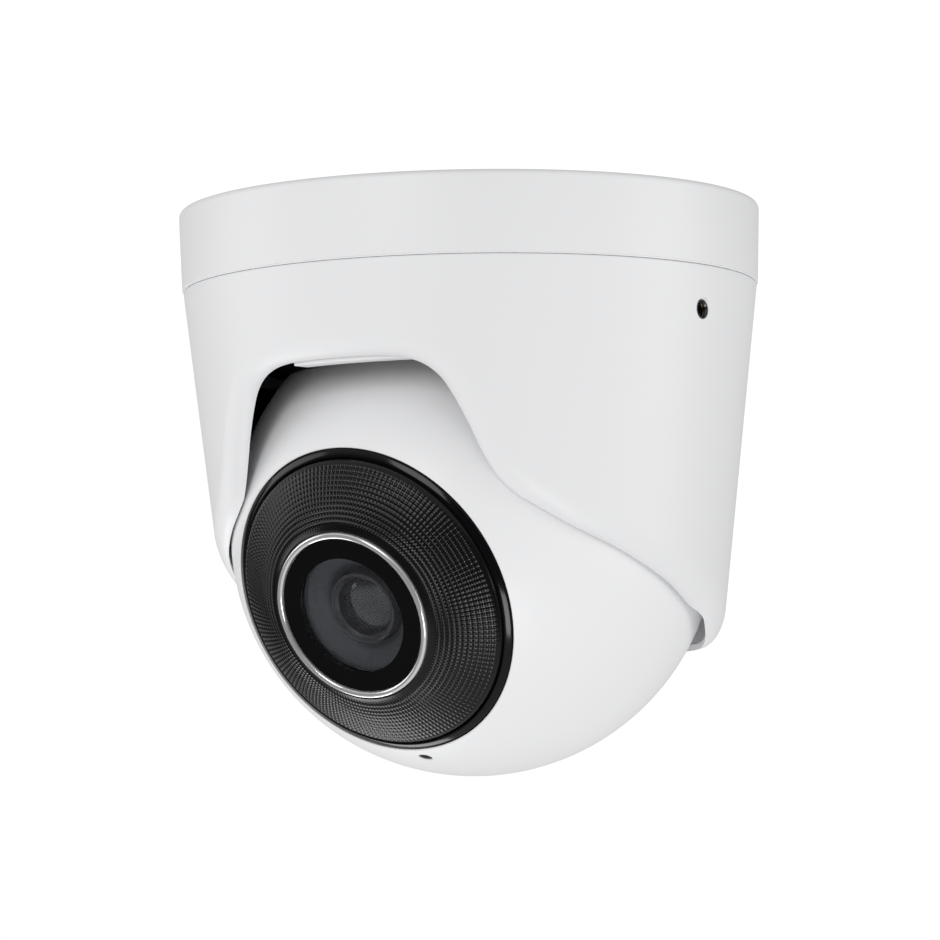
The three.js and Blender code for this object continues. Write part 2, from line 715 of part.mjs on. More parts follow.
function mainBoard() {
  const radius = leg(ballInside, mainBoardLow) - mainBoardMargin;
  const flat = ribbonReach + 0.5;
  const notch = block(ribbonWidth + 2, radius, mainBoardLow - 1, mainBoardTop + 1, 0, flat + radius / 2);
  return piece('main_board', disc(radius, mainBoardLow, mainBoardTop, wideFacets).subtract(notch), circuitBoard());
}

const ribbonWidth = 12;
const ribbonReach = sensorBoardHalf + 6;

// A flat cable from the side of the sensor board, down past it and onto the main board's connector.
function ribbonCable() {
  const thick = 0.4;
  const high = sensorBoardTop - boardThickness - seat;
  const low = mainBoardTop + connectorHeight + 2 * seat;
  const start = sensorBoardHalf - 6;
  const path = new THREE.Shape();
  path.moveTo(start, high);
  path.lineTo(ribbonReach - 3, high);
  path.quadraticCurveTo(ribbonReach, high, ribbonReach, high - 3);
  path.lineTo(ribbonReach, low + 3);
  path.quadraticCurveTo(ribbonReach, low, ribbonReach - 3, low);
  path.lineTo(start, low);
  path.lineTo(start, low + thick);
  path.lineTo(ribbonReach - 3, low + thick);
  path.quadraticCurveTo(ribbonReach - thick, low + thick, ribbonReach - thick, low + 3);
  path.lineTo(ribbonReach - thick, high - 3);
  path.quadraticCurveTo(ribbonReach - thick, high - thick, ribbonReach - 3, high - thick);
  path.lineTo(start, high - thick);
  const strip = new THREE.ExtrudeGeometry(path, { depth: ribbonWidth, bevelEnabled: false, curveSegments: 4 });
  strip.translate(0, 0, -ribbonWidth / 2).rotateX(Math.PI / 2).rotateZ(Math.PI / 2);
  return piece('ribbon_cable', solidOf(strip), finish(0xd9d4c6, 0.5));
}

const connectorHeight = 2.6;

function boardConnector() {
  const low = mainBoardTop + seat;
  return piece('board_connector', block(ribbonWidth + 3, 5, low, low + connectorHeight, 0, sensorBoardHalf - 3), finish(0xe8e4d8, 0.5));
}

function processor() {
  const top = mainBoardLow - seat;
  return piece('processor', block(2 * processorHalf, 2 * processorHalf, top - 1.4, top), chipBlack());
}

const padTop = mainBoardLow - 1.4 - 2 * seat;
const padThickness = 1;

function thermalPad() {
  const half = processorHalf - 0.5;
  return piece('thermal_pad', block(2 * half, 2 * half, padTop - padThickness, padTop), finish(0x8fa3b8, 0.8));
}

function heatSink() {
  const top = padTop - padThickness - seat;
  const body = disc(sinkRadius, top - sinkHeight, top, midFacets);
  const pitch = (2 * sinkRadius) / finCount;
  let solid = body;
  for (let i = 0; i < finCount; i += 1) {
    const x = -sinkRadius + (i + 0.5) * pitch;
    solid = solid.subtract(block(0.6 * pitch, 2.2 * sinkRadius, top - sinkHeight - 1, top - 3, x));
  }
  return piece('heat_sink', solid, aluminium());
}

// Places on the front of the main board, between the sensor board's outline and the shell.
const partCircle = 32;

function onMainBoard(name, solid, angle, material) {
  return piece(name, roundAxis(solid.translate([0, 0, mainBoardTop + seat]), angle, partCircle), material);
}

const networkTransformer = () => (
  onMainBoard('network_transformer', block(10, 16, 0, 6), 200, chipBlack())
);
const memoryCardSlot = () => onMainBoard('memory_card_slot', block(14, 15, 0, 2), 340, steel());
const capacitor = (name, angle) => onMainBoard(name, disc(4, 0, 8.5, 16), angle, finish(0x2c3440, 0.35, 0.3));

// ---------------------------------------------------------------- microphone

function microphone() {
  const top = bootCupTop - 0.8 - seat;
  const solid = disc(microphoneRadius, top - microphoneHeight, top);
  return piece('microphone', toMicrophone(solid), aluminium());
}

// A rubber cup round the capsule, with a neck up to the hole in the shell.
function microphoneBoot() {
  const inner = microphoneRadius + seat;
  const top = leg(ballInside, bootNeckRadius) - 2 * seat;
  const foot = bootCupTop - 0.8 - seat - microphoneHeight;
  const outline = [
    [microphoneHole, bootCupTop - 0.8], [microphoneHole, top], [bootNeckRadius, top], [bootNeckRadius, bootCupTop],
    [bootCupRadius, bootCupTop], [bootCupRadius, foot], [inner, foot], [inner, bootCupTop - 0.8],
  ];
  return piece('microphone_boot', toMicrophone(turned(outline, smallFacets)), rubber());
}

// ---------------------------------------------------------------- cable gland, the hub that the ball turns on

const glandFlange = glandRadius + 3;
const flangeTop = -(leg(ballInside, glandFlange) - seat);
const flangeThickness = 2;
const hexRadius = 10;
const threadRadius = 6.4;

function glandBody() {
  const back = -leg(ballRadius, glandRadius) + 0.5;
  const outline = [
    [glandBore, back], [glandRadius, back], [glandRadius, flangeTop], [glandFlange, flangeTop],
    [glandFlange, flangeTop + flangeThickness], [threadRadius, flangeTop + flangeThickness],
    [threadRadius, back + glandLength], [glandBore, back + glandLength],
  ];
  return piece('gland_body', turned(outline, midFacets), blackPlastic());
}

function glandNut() {
  const low = flangeTop + flangeThickness + seat;
  const solid = disc(hexRadius, low, low + 4, 6).subtract(disc(threadRadius + seat, low - 1, low + 5, midFacets));
  return piece('gland_nut', solid, finish(0x2a2c2f, 0.4));
}

// A rubber plug in the gland's mouth, closed until a cable goes through it.
function glandSeal() {
  const back = -leg(ballRadius, glandRadius) + 0.5;
  const outline = [[1.5, back + 1], [glandBore - seat, back + 1], [glandBore - seat, back + 8], [1.5, back + 8]];
  return piece('gland_seal', turned(outline, 16), rubber());
}

// ---------------------------------------------------------------- assembly

const camera = new THREE.Group();
const housing = new THREE.Group();
const swivel = new THREE.Group();
const ball = new THREE.Group();
const hub = new THREE.Group();

camera.add(mountingBase(), cableGrommet(), glideRing(), pressureSpring(), housing, swivel);

housing.add(housingCover(), innerLiner(), archLedge());
for (const [name, side] of [['left', -1], ['right', 1]]) {
  housing.add(lockScrew(`lock_screw_${name}`, side), threadInsert(`thread_insert_${name}`, side));
}

swivel.rotation.z = rad(lensTurn);
swivel.add(socketSaddle(), hub, ball);

for (const group of [hub, ball]) {
  group.position.z = ballCentre;
  group.rotation.x = rad(90 + lensTilt);
}

hub.add(glandBody(), glandNut(), glandSeal());

ball.add(
  ballShell(), rearCap(), shellSeal(), frontBezel(), faceRim(), chromeRing(), frontFrame(), ledBoard(),
  lensShroud(), lightBaffle(), lensBarrel(), lensHolder(), lensLockRing(), filterCarriage(),
  sensorBoard(), imageSensor(), mainBoard(), ribbonCable(), boardConnector(), processor(), thermalPad(),
  heatSink(), networkTransformer(), memoryCardSlot(), microphone(), microphoneBoot(),
);
ball.add(filterPane('daylight_filter', 0, 0x5a2030), filterPane('clear_pane', -filterTravel, 0xc8d4d8));
ball.add(piece('lens_window', disc(windowRadius, windowBack, windowFront, midFacets), glass()));
ball.add(piece('window_mask', tube(maskBore, windowRadius, maskBack, maskBack + maskThickness, midFacets), glossBlack()));
ball.add(piece('window_gasket', tube(towerBore, windowRadius, towerTop + seat, maskBack - seat, midFacets), rubber()));
ball.add(lensGlass('front_lens', frontGlassRadius, barrelFront - 5 + seat, 1.6));
ball.add(lensGlass('rear_lens', rearGlassRadius, barrelBack + 0.2, 0.3));
rearScrewAngles.forEach((angle, i) => ball.add(rearScrew(`rear_screw_${i + 1}`, angle)));
[45, 135, 225, 315].forEach((angle, i) => ball.add(infraredLed(`infrared_led_${i + 1}`, angle)));
[250, 290].forEach((angle, i) => ball.add(capacitor(`capacitor_${i + 1}`, angle)));

export default camera;
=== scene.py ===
# %% [markdown]
# # A turret dome camera
#
# This lesson dresses a small ceiling camera. A round base screws to the ceiling. A tapered housing turns
# under it, and holds a white ball that looks out of an arched opening. The ball's black face carries a
# flat glass window in a bright ring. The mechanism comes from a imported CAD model, which we load as a fixed
# frame. Our work is the surface: smooth skins, rolled lips, a dotted face, glass, paint and light.

# %% Load the frame
import json
import math

import bpy
import numpy as np
from mathutils import Matrix, Vector


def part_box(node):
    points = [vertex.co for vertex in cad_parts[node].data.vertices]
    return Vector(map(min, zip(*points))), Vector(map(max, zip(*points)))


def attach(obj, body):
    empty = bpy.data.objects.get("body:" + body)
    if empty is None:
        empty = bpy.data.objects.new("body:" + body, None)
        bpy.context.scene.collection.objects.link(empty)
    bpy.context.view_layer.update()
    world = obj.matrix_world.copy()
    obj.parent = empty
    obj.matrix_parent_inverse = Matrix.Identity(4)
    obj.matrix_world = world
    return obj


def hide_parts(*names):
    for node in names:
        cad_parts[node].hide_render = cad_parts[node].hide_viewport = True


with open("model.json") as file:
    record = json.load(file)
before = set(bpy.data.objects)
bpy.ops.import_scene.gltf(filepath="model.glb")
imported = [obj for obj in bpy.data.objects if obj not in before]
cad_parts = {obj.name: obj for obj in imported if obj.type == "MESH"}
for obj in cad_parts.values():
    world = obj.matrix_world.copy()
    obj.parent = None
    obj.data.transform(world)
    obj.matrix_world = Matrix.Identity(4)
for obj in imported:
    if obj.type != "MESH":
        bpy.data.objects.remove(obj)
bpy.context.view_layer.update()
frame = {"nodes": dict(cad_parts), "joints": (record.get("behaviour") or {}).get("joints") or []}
nodes = frame["nodes"]
joints = {joint["name"]: joint for joint in frame["joints"]}

# %% [markdown]
# ## Two coordinate systems
#
# The base and the housing are round about the world's Z axis. Everything in the ball is round about the
# lens axis, which points forwards and down. The ball's pieces are modelled upright, with the lens axis
# along +Z, and laid over afterwards. The roll joint gives the axis, and the tilt joint the way sideways.

# %% Directions and the ball's own frame
MM = 0.001

ball_centre = Vector(joints["ball_roll"]["pos_m"])
lens_axis = Vector(joints["ball_roll"]["axis"]).normalized()
lens_right = Vector(joints["ball_tilt"]["axis"]).normalized()
lens_up = lens_axis.cross(lens_right)


def axes_matrix(x, y, z, place):
    """The matrix that turns the world's axes to three others and moves the origin to a place."""
    return Matrix((*zip(x, y, z, place), (0, 0, 0, 1)))


ball_frame = axes_matrix(lens_right, lens_up, lens_axis, ball_centre)
into_ball_frame = ball_frame.inverted()


def lens_box(node):
    """A ball node's lowest and highest corners in the ball's own frame, in millimetres."""
    corners = [into_ball_frame @ vertex.co / MM for vertex in nodes[node].data.vertices]
    return Vector(map(min, zip(*corners))), Vector(map(max, zip(*corners)))


print("the lens looks", round(math.degrees(math.asin(-lens_axis.z)), 1), "degrees below level")

# %% [markdown]
# ## Modelling helpers
#
# Nearly every piece here is turned, so one helper does most of the work. It moves a circle's points onto
# the piece's outline and spins that round the Z axis. Real edges are never sharp, so a second helper first
# rounds each corner of the outline that names a radius.


# %% Outlines
def rounded(corners, steps=5):
    """Outline points of (radius, height) corners, where a third number rounds its corner."""
    points = []
    for i, corner in enumerate(corners):
        here = Vector(corner[:2])
        fillet = corner[2] if len(corner) > 2 else 0
        before = Vector(corners[i - 1][:2]) - here
        after = Vector(corners[(i + 1) % len(corners)][:2]) - here
        if not fillet:
            points.append(here)
            continue
        half = before.angle(after) / 2
        back = min(fillet / math.tan(half), 0.49 * before.length, 0.49 * after.length)
        start = here + before.normalized() * back
        end = here + after.normalized() * back
        for k in range(steps + 1):
            t = k / steps
            points.append(start.lerp(here, t).lerp(here.lerp(end, t), t))
    return [tuple(point) for point in points]


def polar_arc(radius, start, end, steps):
    """Points of a sphere's outline between two angles from the lens axis, in radians."""
    angles = [start + (end - start) * k / steps for k in range(steps + 1)]
    return [(radius * math.sin(a), radius * math.cos(a)) for a in angles]


def bar(inner, outer, low, high, foot, top, steps=5):
    """The outline of a plain ring, with the radii of its lower and upper corners."""
    corners = [(inner, low, foot), (outer, low, foot), (outer, high, top), (inner, high, top)]
    return rounded(corners, steps)


def ball_arc(radius, inner, outer, steps):
    """Points of a sphere's outline between two distances from the axis, on the lens side."""
    return polar_arc(radius, math.asin(inner / radius), math.asin(outer / radius), steps)


# %% Spinning and cutting
def select_only(piece):
    bpy.ops.object.select_all(action="DESELECT")
    piece.select_set(True)
    bpy.context.view_layer.objects.active = piece


def tidy_mesh(piece, smooth_angle=35):
    """Merges doubled points, turns the faces outwards and smooths all but real edges."""
    select_only(piece)
    bpy.ops.object.mode_set(mode="EDIT")
    bpy.ops.mesh.select_all(action="SELECT")
    bpy.ops.mesh.remove_doubles(threshold=2e-6)
    bpy.ops.mesh.dissolve_degenerate(threshold=1e-7)
    bpy.ops.mesh.delete_loose()
    bpy.ops.mesh.select_all(action="SELECT")
    bpy.ops.mesh.normals_make_consistent(inside=False)
    bpy.ops.object.mode_set(mode="OBJECT")
    bpy.ops.object.shade_smooth_by_angle(angle=math.radians(smooth_angle))


def spun(name, outline, steps=96, smooth_angle=35):
    """A closed outline of (radius, height) points in millimetres, spun round Z into a solid."""
    bpy.ops.object.select_all(action="DESELECT")
    bpy.ops.mesh.primitive_circle_add(vertices=len(outline), fill_type="NOTHING")
    piece = bpy.context.object
    piece.name = name
    for vertex, (radius, height) in zip(piece.data.vertices, outline):
        vertex.co = (radius * MM, 0, height * MM)
    bpy.ops.object.mode_set(mode="EDIT")
    bpy.ops.mesh.select_all(action="SELECT")
    bpy.ops.mesh.spin(steps=steps, angle=2 * math.pi, center=(0, 0, 0), axis=(0, 0, 1))
    bpy.ops.object.mode_set(mode="OBJECT")
    tidy_mesh(piece, smooth_angle)
    return piece


def wrapped(name, rows, smooth_angle):
    """A grid whose rows of points are given in metres, wrapped onto itself into a closed skin."""
    bpy.ops.object.select_all(action="DESELECT")
    bpy.ops.mesh.primitive_grid_add(x_subdivisions=len(rows[0]) - 1, y_subdivisions=len(rows) - 1, size=1)
    piece = bpy.context.object
    piece.name = name
    piece.data.vertices.foreach_set("co", np.concatenate(rows).ravel().astype(np.float32))
    piece.data.update()
    tidy_mesh(piece, smooth_angle)
    return piece


def cut(piece, *cutters):
    """Takes each cutter out of the piece and removes the cutter."""
    for cutter in cutters:
        select_only(piece)
        modifier = piece.modifiers.new("cut", "BOOLEAN")
        modifier.operation = "DIFFERENCE"
        modifier.solver = "EXACT"
        modifier.object = cutter
        bpy.ops.object.modifier_apply(modifier=modifier.name)
        bpy.data.objects.remove(cutter)
    bpy.ops.object.shade_smooth_by_angle(angle=math.radians(35))


def laid_in_ball(piece):
    """Moves a piece from the upright lens frame to its place in the ball."""
    piece.data.transform(ball_frame)
    return piece


def copied(piece, name):
    """A copy with its own mesh."""
    twin = piece.copy()
    twin.data = piece.data.copy()
    twin.name = name
    bpy.context.collection.objects.link(twin)
    return twin


def beside_axis(piece, angle, radius=0):
    """Moves a piece out from the Z axis and round it, by degrees."""
    out = Matrix.Translation((radius * MM, 0, 0))
    piece.data.transform(Matrix.Rotation(math.radians(angle), 4, "Z") @ out)
    return piece


# %% [markdown]
# ## Finishes
#
# A painted casting is not one flat colour. The powder coat has a fine grain that breaks up highlights, and
# its tone drifts by a percent or two. A little dust dulls the rubber. Each effect is a small node group that
# gives out only values, and each material keeps its own shader. All patterns read Object coordinates in
# metres, so a scale of 1000 has one cell to each millimetre.


# %% Node group: grain
def new_group(name, inputs, outputs):
    group = bpy.data.node_groups.new(name, "ShaderNodeTree")
    for socket, kind, value in inputs:
        item = group.interface.new_socket(name=socket, in_out="INPUT", socket_type=kind)
        if value is not None:
            item.default_value = value
    for socket, kind in outputs:
        group.interface.new_socket(name=socket, in_out="OUTPUT", socket_type=kind)
    return group


FLOAT = "NodeSocketFloat"
VECTOR = "NodeSocketVector"


def noise_node(tree, scale, detail, place):
    node = tree.nodes.new("ShaderNodeTexNoise")
    node.inputs["Detail"].default_value = detail
    node.inputs["Roughness"].default_value = 0.55
    if scale is not None:
        node.inputs["Scale"].default_value = scale
    node.location = place
    return node


def math_node(tree, operation, place, first=None, second=None):
    node = tree.nodes.new("ShaderNodeMath")
    node.operation = operation
    node.location = place
    for socket, value in zip(node.inputs, (first, second)):
        if isinstance(value, (int, float)):
            socket.default_value = value
        elif value is not None:
            tree.links.new(value, socket)
    return node


def mix_node(tree, factor, first, second, kind="RGBA"):
    """A mix of two values. A value that is a socket is linked, and any other is set."""
    node = tree.nodes.new("ShaderNodeMix")
    node.data_type = kind
    for socket, value in (("Factor", factor), ("A", first), ("B", second)):
        if isinstance(value, bpy.types.NodeSocket):
            tree.links.new(value, node.inputs[socket])
        else:
            node.inputs[socket].default_value = value
    return node


def build_grain():
    """A fine grain with a slow drift: Tone multiplies a colour, Rough adds to a roughness, Height bumps."""
    group = new_group(
        "surface_grain",
        [("Vector", VECTOR, None), ("Grain Scale", FLOAT, 2200.0), ("Drift Scale", FLOAT, 30.0),
         ("Tone Change", FLOAT, 0.02), ("Rough Change", FLOAT, 0.08)],
        [("Tone", FLOAT), ("Rough", FLOAT), ("Height", FLOAT)],
    )
    tree_in = group.nodes.new("NodeGroupInput")
    tree_out = group.nodes.new("NodeGroupOutput")
    tree_in.location = (-700, 0)
    tree_out.location = (500, 0)
    fine = noise_node(group, None, 3, (-450, 150))
    slow = noise_node(group, None, 2, (-450, -150))
    link = group.links.new
    for node, scale in ((fine, "Grain Scale"), (slow, "Drift Scale")):
        link(tree_in.outputs["Vector"], node.inputs["Vector"])
        link(tree_in.outputs[scale], node.inputs["Scale"])
    drift = math_node(group, "SUBTRACT", (-200, -150), slow.outputs["Fac"], 0.5)
    spread = math_node(group, "SUBTRACT", (-200, 0), fine.outputs["Fac"], 0.5)
    tone = math_node(group, "MULTIPLY", (0, -150), drift.outputs[0], tree_in.outputs["Tone Change"])
    link(math_node(group, "ADD", (200, -150), tone.outputs[0], 1.0).outputs[0], tree_out.inputs["Tone"])
    mixed = math_node(group, "ADD", (0, 0), drift.outputs[0], spread.outputs[0])
    rough = math_node(group, "MULTIPLY", (200, 0), mixed.outputs[0], tree_in.outputs["Rough Change"])
    link(rough.outputs[0], tree_out.inputs["Rough"])
    link(fine.outputs["Fac"], tree_out.inputs["Height"])
    return group


grain = build_grain()
print("made the node group", grain.name)


# %% Node group: dust
def build_dust():
    """A soft patchy mask, 0 where clean and 1 where dusty."""
    group = new_group(
        "settled_dust",
        [("Vector", VECTOR, None), ("Scale", FLOAT, 60.0), ("Amount", FLOAT, 0.2)],
        [("Mask", FLOAT)],
    )
    tree_in = group.nodes.new("NodeGroupInput")
    tree_out = group.nodes.new("NodeGroupOutput")
    patches = noise_node(group, None, 6, (-300, 0))
    group.links.new(tree_in.outputs["Vector"], patches.inputs["Vector"])
    group.links.new(tree_in.outputs["Scale"], patches.inputs["Scale"])
    above = math_node(group, "SUBTRACT", (-100, 0), patches.outputs["Fac"], 0.45)
    scaled = math_node(group, "MULTIPLY", (80, 0), above.outputs[0], 4.0)
    scaled.use_clamp = True
    mask = math_node(group, "MULTIPLY", (260, 0), scaled.outputs[0], tree_in.outputs["Amount"])
    group.links.new(mask.outputs[0], tree_out.inputs["Mask"])
    return group


dust = build_dust()
print("made the node group", dust.name)


# %% Material helper
DUST_COLOUR = (0.42, 0.41, 0.39, 1)


def finish(name, colour, roughness, metallic=0.0, grain_scale=2200.0, drift_scale=30.0, tone_change=0.03,
           rough_change=0.1, depth=0.004, dusty=0.0, coat=0.0, specular=0.5):
    """A procedural finish. `depth` is the height of the grain in millimetres."""
    material = bpy.data.materials.new(name)
    material.use_nodes = True
    tree = material.node_tree
    shader = tree.nodes["Principled BSDF"]
    shader.inputs["Metallic"].default_value = metallic
    shader.inputs["Coat Weight"].default_value = coat
    shader.inputs["Specular IOR Level"].default_value = specular
    coords = tree.nodes.new("ShaderNodeTexCoord")
    coords.location = (-1100, 0)
    surface = tree.nodes.new("ShaderNodeGroup")
    surface.node_tree = grain
    surface.location = (-850, 100)
    for socket, value in (("Grain Scale", grain_scale), ("Drift Scale", drift_scale),
                          ("Tone Change", tone_change), ("Rough Change", rough_change)):
        surface.inputs[socket].default_value = value
    tree.links.new(coords.outputs["Object"], surface.inputs["Vector"])
    toned = tree.nodes.new("ShaderNodeVectorMath")
    toned.operation = "SCALE"
    toned.inputs[0].default_value = colour
    toned.location = (-550, 250)
    tree.links.new(surface.outputs["Tone"], toned.inputs["Scale"])
    base = toned.outputs[0]
    rough = math_node(tree, "ADD", (-550, 0), surface.outputs["Rough"], roughness).outputs[0]
    if dusty:
        layer = tree.nodes.new("ShaderNodeGroup")
        layer.node_tree = dust
        layer.inputs["Amount"].default_value = dusty
        layer.location = (-850, -250)
        tree.links.new(coords.outputs["Object"], layer.inputs["Vector"])
        mix = mix_node(tree, layer.outputs["Mask"], base, DUST_COLOUR)
        mix.location = (-300, 250)
        base = mix.outputs["Result"]
        rough = math_node(tree, "ADD", (-300, 0), rough, layer.outputs["Mask"]).outputs[0]
    tree.links.new(base, shader.inputs["Base Color"])
    tree.links.new(rough, shader.inputs["Roughness"])
    bump = tree.nodes.new("ShaderNodeBump")
    bump.inputs["Strength"].default_value = 1.0
    bump.inputs["Distance"].default_value = depth * MM
    bump.location = (-300, -250)
    tree.links.new(surface.outputs["Height"], bump.inputs["Height"])
    tree.links.new(bump.outputs["Normal"], shader.inputs["Normal"])
    return material


def dress(piece, material):
    piece.data.materials.clear()
    piece.data.materials.append(material)


def fit_out(piece, material, node, body):
    """Dresses a skin, hides the CAD node it stands for, if any, and names its body."""
    dress(piece, material)
    if node:
        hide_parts(node)
    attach(piece, body)


# %% [markdown]
# ### Paints, plastics and metals
#
# The base and the housing are powder coated, with a faint orange peel. The ball is painted smoother and a
# touch brighter. The blacks differ more by gloss than by colour: the dotted face is satin, its rim is
# polished, and the ring printed under the window is the darkest of all.

# %% Outer finishes
housing_white = finish("housing_white", (0.875, 0.878, 0.888), 0.45, grain_scale=1500, depth=0.006,
                       tone_change=0.012, rough_change=0.12)
ball_white = finish("ball_white", (0.92, 0.923, 0.933), 0.38, grain_scale=2600, depth=0.003,
                    tone_change=0.01, rough_change=0.08)
face_black = finish("face_black", (0.006, 0.006, 0.0068), 0.2, grain_scale=3200, depth=0.001,
                    tone_change=0.2, rough_change=0.08, specular=0.34)
rim_black = finish("rim_black", (0.004, 0.004, 0.0048), 0.12, grain_scale=1500, depth=0.0004,
                   tone_change=0.1, rough_change=0.04, specular=0.3)
mask_black = finish("mask_black", (0.005, 0.005, 0.0055), 0.12, grain_scale=4000, depth=0.0002,
                    tone_change=0.1, rough_change=0.03, specular=0.3)
ring_chrome = finish("ring_chrome", (0.95, 0.955, 0.96), 0.12, metallic=0.7, grain_scale=1800,
                     depth=0.0006, tone_change=0.02, rough_change=0.05)
liner_black = finish("liner_black", (0.006, 0.006, 0.007), 0.62, grain_scale=1800, depth=0.012,
                     tone_change=0.3)

# %% Inner finishes
shroud_grey = finish("shroud_grey", (0.044, 0.045, 0.051), 0.6, grain_scale=2400, tone_change=0.08,
                     specular=0.15)
barrel_black = finish("barrel_black", (0.020, 0.020, 0.023), 0.42, grain_scale=3000,
                      depth=0.003, tone_change=0.15, specular=0.3)
moulded_black = finish("moulded_black", (0.012, 0.012, 0.013), 0.5, grain_scale=1400, depth=0.01,
                       tone_change=0.2)
soft_rubber = finish("soft_rubber", (0.016, 0.016, 0.017), 0.8, grain_scale=1900, depth=0.015,
                     tone_change=0.25, dusty=0.06)
pale_nylon = finish("pale_nylon", (0.62, 0.60, 0.53), 0.45, grain_scale=1200, depth=0.006,
                    tone_change=0.06)
bright_steel = finish("bright_steel", (0.52, 0.525, 0.53), 0.28, metallic=1.0, grain_scale=2600,
                      depth=0.003, tone_change=0.12, rough_change=0.25)
black_steel = finish("black_steel", (0.10, 0.10, 0.105), 0.3, metallic=1.0, grain_scale=2600,
                     tone_change=0.2, rough_change=0.2)
turned_brass = finish("turned_brass", (0.60, 0.43, 0.16), 0.3, metallic=1.0, grain_scale=2600,
                      depth=0.003, tone_change=0.1, rough_change=0.2)
cast_aluminium = finish("cast_aluminium", (0.58, 0.585, 0.59), 0.42, metallic=1.0, grain_scale=1600,
                        depth=0.012, tone_change=0.1, rough_change=0.25)
board_green = finish("board_green", (0.012, 0.105, 0.038), 0.33, grain_scale=700, depth=0.01,
                     tone_change=0.35, coat=0.2)
chip_black = finish("chip_black", (0.018, 0.018, 0.02), 0.55, grain_scale=3600, depth=0.006,
                    tone_change=0.2)
pad_blue = finish("pad_blue", (0.20, 0.32, 0.44), 0.75, grain_scale=900, depth=0.03, tone_change=0.12)
can_blue = finish("can_blue", (0.02, 0.035, 0.085), 0.3, grain_scale=900, tone_change=0.15)
lamp_dark = finish("lamp_dark", (0.02, 0.008, 0.012), 0.08, grain_scale=900, depth=0.0005,
                   tone_change=0.2, coat=0.5)
sensor_dark = finish("sensor_dark", (0.03, 0.045, 0.07), 0.12, metallic=0.3, grain_scale=5000,
                     depth=0.001, tone_change=0.3)


# %% Glass
def clear_glass(name, colour, roughness, ior=1.5, specular=0.5):
    """Glass with a faint drift in its polish and no bump, which would show as a pattern through it."""
    material = finish(name, colour, roughness, grain_scale=60, drift_scale=25, tone_change=0.01,
                      rough_change=0.01, specular=specular)
    shader = material.node_tree.nodes["Principled BSDF"]
    material.node_tree.links.remove(shader.inputs["Normal"].links[0])
    shader.inputs["Transmission Weight"].default_value = 1.0
    shader.inputs["IOR"].default_value = ior
    return material


window_glass = clear_glass("window_glass", (0.92, 0.94, 0.96), 0.02, ior=1.3, specular=0.1)
# The lenses are opaque, and their near-black colour is painted shade that stands in for the dark barrel
# clear glass would show. The coat gives them real glints.
lens_painted_shade = finish("lens_painted_shade", (0.017, 0.017, 0.019), 0.06, grain_scale=90, depth=0.0001,
                      tone_change=0.3, rough_change=0.02, coat=0.4)
filter_glass = clear_glass("filter_glass", (0.45, 0.06, 0.10), 0.01)
print("made", len(bpy.data.materials), "materials")

# %% [markdown]
# ## The mounting base
#
# The base is a die-cast plate with a short skirt and a neck that the housing turns on. Its outline never
# reaches the axis, because the cable comes through the middle. The screw holes are cut afterwards.

# %% Base sizes
base_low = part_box("mounting_base")[0]
housing_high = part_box("housing_cover")[1]
BASE_RADIUS = 64.5
PLATE = 3.0
SKIRT_BOTTOM = housing_high.z / MM + 0.38
SKIRT_WALL = 2.2
SKIRT_STEP = 0.2
SEAM_DEPTH = 0.3
SHOULDER_GAP = 0.06
NECK_RADIUS = 56.97
NECK_WALL = 2.2
CABLE_HOLE = 15.0
LOCK_HEIGHT = -27.45
GROOVE = 0.8
GROOVE_HALF = 2.45
SEAT = 0.3              # gap between pieces that rest on each other

# The ball, and the housing's cone round it.
BALL_RADIUS = 53.8
BALL_WALL = 2.4
CENTRE_Z = ball_centre.z / MM
CLEARANCE = 3.6
TAPER = 0.116


def cone_radius(z):
    return BALL_RADIUS + CLEARANCE + TAPER * (z - CENTRE_Z)


# %% Base casting
seam_radius = cone_radius(SKIRT_BOTTOM) + SKIRT_STEP
neck_bottom = base_low.z / MM
shoulder = housing_high.z / MM + SHOULDER_GAP
base_outline = rounded([
    (CABLE_HOLE, 0, 0.4), (BASE_RADIUS, 0, 1.5), (seam_radius, SKIRT_BOTTOM, 0.1),
    (seam_radius - SEAM_DEPTH, SKIRT_BOTTOM), (seam_radius - SEAM_DEPTH, shoulder),
    (seam_radius - SKIRT_WALL, shoulder, 0.3), (BASE_RADIUS - SKIRT_WALL - 0.3, -PLATE, 0.8),
    (NECK_RADIUS, -PLATE, 0.8), (NECK_RADIUS, LOCK_HEIGHT + GROOVE_HALF + GROOVE),
    (NECK_RADIUS - GROOVE, LOCK_HEIGHT + GROOVE_HALF), (NECK_RADIUS - GROOVE, LOCK_HEIGHT - GROOVE_HALF),
    (NECK_RADIUS, LOCK_HEIGHT - GROOVE_HALF - GROOVE), (NECK_RADIUS, neck_bottom, 0.5),
    (NECK_RADIUS - NECK_WALL, neck_bottom, 0.5), (NECK_RADIUS - NECK_WALL, -PLATE, 1.0),
    (CABLE_HOLE, -PLATE, 0.3),
], steps=6)
base_skin = spun("base_skin", base_outline, steps=256)

# %% [markdown]
# Each fixing hole is countersunk on the side that faces the room. The cutter is a turned stud with a
# flared end, modelled once and copied round the circle. The shallow pockets are cut the same way.

# %% Base holes and pockets
FIXING_CIRCLE = 42.0
FIXING_HOLE = 2.3
FIXING_HEAD = 4.5
POCKET = 7.5
POCKET_DEPTH = 1.2
POCKET_TURN = 28
THIRDS = (90, 210, 330)

